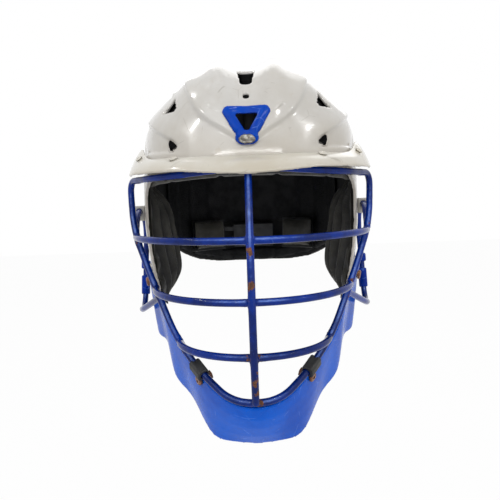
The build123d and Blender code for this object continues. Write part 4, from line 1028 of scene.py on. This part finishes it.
# %% [markdown]
# The jaw pads are upright rolls beside each cheek, joined by sewn channels. The channels' places are
# shares of the angle that a pad covers, seen from above.

# %% Jaw pads
JAW_CHANNEL_SHARES = (0.14, 0.3, 0.47, 0.7)
JAW_CHANNEL_HALF = 2.5 * MM
JAW_CHANNEL_DEPTH = 5.0 * MM
JAW_INSET = 0.8 * MM
JAW_MOST = 2.5 * MM
JAW_SQUARE = 3.2 * MM


def make_jaw_pad(side):
    node = f"jaw_pad_{side}"
    pad = puffed([node], f"jaw_cushion_{side}", JAW_INSET, JAW_MOST, JAW_SQUARE)
    points, normals = points_of(pad), normals_of(pad)
    angle = np.arctan2(np.abs(points[:, 0]), -points[:, 1])
    first, last = angle.min(), angle.max()
    places = [first + (last - first) * share for share in JAW_CHANNEL_SHARES]
    inward = smooth_step(-(normals[:, 0] * np.sign(points[:, 0])), -0.2, 0.3)
    radius = np.hypot(points[:, 0], points[:, 1]).mean()
    groove = channel(angle * radius, [place * radius for place in places], JAW_CHANNEL_HALF) * inward
    pressed(pad, JAW_CHANNEL_DEPTH, groove)
    finish_with(pad, "pad_dark")
    stands_for(pad, [node])


for side in ("left", "right"):
    make_jaw_pad(side)

# %% [markdown]
# The brow band is one soft strip. Short channels let it bend round the forehead.

# %% Brow band
BROW_CHANNEL_DEGREES = (-36, -12, 12, 36)
BROW_CHANNEL_HALF = math.radians(1.3)
BROW_CHANNEL_DEPTH = 1.6 * MM
BROW_INSET = 1.2 * MM
BROW_MOST = 4.0 * MM


def make_brow_band():
    pad = puffed(["brow_pad"], "brow_cushion", BROW_INSET, BROW_MOST)
    points = points_of(pad)
    angle = np.arctan2(points[:, 0], -points[:, 1])
    places = [math.radians(degrees) for degrees in BROW_CHANNEL_DEGREES]
    pressed(pad, BROW_CHANNEL_DEPTH, channel(angle, places, BROW_CHANNEL_HALF))
    finish_with(pad, "pad_dark")
    stands_for(pad, ["brow_pad"])


make_brow_band()

# %% [markdown]
# The liners are firm foam, so they are not simulated: rounding their edges and pressing their
# channels is enough. The side liners and the pads of the nape cradle are softer and puff a little.

# %% Liners
LINER_SQUARE = 2.4 * MM
LINER_ROUNDS = 5
LINER_CHANNEL_HALF = math.radians(1.6)
REAR_CHANNEL_DEGREES = (-52, -39, -26, -13, 0, 13, 26, 39, 52)
REAR_CHANNEL_DEPTH = 1.4 * MM


def make_liner(node, title, degrees, depth):
    pad = remeshed(joined_copy([node], title), LINER_SQUARE, LINER_ROUNDS)
    points = points_of(pad)
    angle = np.arctan2(points[:, 0], points[:, 1])
    places = [math.radians(place) for place in degrees]
    pressed(pad, depth, channel(angle, places, LINER_CHANNEL_HALF))
    finish_with(pad, "liner_black")
    stands_for(pad, [node])


for side in ("left", "right"):
    make_liner(f"crown_liner_{side}", f"crown_foam_{side}", (), 0.0)
make_liner("rear_liner", "nape_foam", REAR_CHANNEL_DEGREES, REAR_CHANNEL_DEPTH)

# %% Side liners and cradle pads
SMALL_PAD_INSET = 0.8 * MM
SMALL_PAD_MOST = 2.5 * MM
SMALL_PAD_SQUARE = 3.0 * MM
for side in ("left", "right"):
    for node, title, body in ((f"side_liner_{side}", f"temple_cushion_{side}", HELMET),
                              (f"wing_pad_{side}", f"nape_cushion_{side}", f"wing_{side}")):
        pad = puffed([node], title, SMALL_PAD_INSET, SMALL_PAD_MOST, SMALL_PAD_SQUARE)
        paint(pad, "groove", np.zeros(len(pad.data.vertices)))
        finish_with(pad, slot_of[node])
        stands_for(pad, [node], body)

# %% [markdown]
# ## Floor, light and background
# A soft white studio: three large lamps give even light, four small ones and a strip put crisp marks
# in the gloss, and what the camera sees behind the helmet is plain white paper.

# %% Floor and background
FLOOR_Z = -0.62
FLOOR_HALF = 6.0
FLOOR_WHITE_SHARE = 0.96
WORLD_STRENGTH = 0.45


def white_for_camera(tree, plain, output, share=1.0):
    """Shows plain white to camera, glossy and transmission rays, and the plain shader to all others."""
    paths = tree.nodes.new("ShaderNodeLightPath")
    seen = math_node(tree, "MAXIMUM", paths.outputs["Is Camera Ray"], paths.outputs["Is Glossy Ray"])
    seen = math_node(tree, "MAXIMUM", seen, paths.outputs["Is Transmission Ray"])
    seen = math_node(tree, "MULTIPLY", seen, share)
    on_surface = output.type == "OUTPUT_MATERIAL"
    bright = tree.nodes.new("ShaderNodeEmission" if on_surface else "ShaderNodeBackground")
    bright.inputs["Color"].default_value = (1, 1, 1, 1)
    bright.inputs["Strength"].default_value = 1.0
    mix = tree.nodes.new("ShaderNodeMixShader")
    link(tree, seen, mix.inputs["Fac"])
    link(tree, plain, mix.inputs[1])
    link(tree, bright.outputs[0], mix.inputs[2])
    link(tree, mix.outputs[0], output.inputs["Surface"])


def make_world():
    world = bpy.data.worlds.new("studio")
    world.use_nodes = True
    scene.world = world
    tree = world.node_tree
    plain = tree.nodes["Background"]
    plain.inputs["Color"].default_value = (1.0, 1.0, 1.0, 1)
    plain.inputs["Strength"].default_value = WORLD_STRENGTH
    white_for_camera(tree, plain.outputs[0], tree.nodes["World Output"])


def make_floor():
    sheet = bmesh.new()
    bmesh.ops.create_grid(sheet, x_segments=4, y_segments=4, size=FLOOR_HALF)
    mesh = bpy.data.meshes.new("studio_floor")
    sheet.to_mesh(mesh)
    sheet.free()
    floor = bpy.data.objects.new("studio_floor", mesh)
    floor.location = (0, 0, FLOOR_Z)
    scene.collection.objects.link(floor)
    material, tree, shader = new_material("floor_paper", Roughness=0.9)
    paper = use(tree, colour_drift, First=colour(250, 250, 250), Second=colour(246, 246, 246), Scale=2.0)
    link(tree, paper.outputs["Color"], shader.inputs["Base Color"])
    white_for_camera(tree, shader.outputs["BSDF"], tree.nodes["Material Output"], FLOOR_WHITE_SHARE)
    mesh.materials.append(material)


make_world()
make_floor()

# %% Lamps
def lamp(title, place, target, size, power):
    data = bpy.data.lights.new(title, "AREA")
    data.shape = "SQUARE"
    data.size = size
    data.energy = power
    light = bpy.data.objects.new(title, data)
    scene.collection.objects.link(light)
    light.location = place
    light.rotation_euler = (Vector(target) - Vector(place)).to_track_quat("-Z", "Y").to_euler()
    return light


# Each row holds a lamp's name, place, target, width in metres and power in watts.
LARGE_LAMPS = [
    ("key", (-1.1, -1.7, 1.6), (0, 0, -0.02), 2.2, 15),
    ("fill", (1.5, -1.4, 0.6), (0, 0, -0.05), 2.2, 8),
    ("back", (0.2, 1.8, 1.4), (0, 0, 0), 1.8, 9),
]
SPARK_TARGET = (0, 0, 0.02)
SPARK_WIDTH = 0.07
SPARK_POWER = 1.8
SPARKS = [("spark_left", (-1.0, -0.57, 0.96)), ("spark_high", (-0.82, 0.16, 1.21)),
          ("spark_right", (1.0, -0.5, 0.86)), ("spark_front", (0.31, -0.92, 1.16))]
STRIP_PLACE = (0.0, -1.3, 0.9)
STRIP_TARGET = (0, 0, -0.05)
STRIP_LENGTH = 1.3
STRIP_WIDTH = 0.05
STRIP_POWER = 2.8

for row in LARGE_LAMPS:
    lamp(*row)
for title, place in SPARKS:
    lamp(title, place, SPARK_TARGET, SPARK_WIDTH, SPARK_POWER)
strip = lamp("strip", STRIP_PLACE, STRIP_TARGET, STRIP_LENGTH, STRIP_POWER)
strip.data.shape = "RECTANGLE"
strip.data.size_y = STRIP_WIDTH
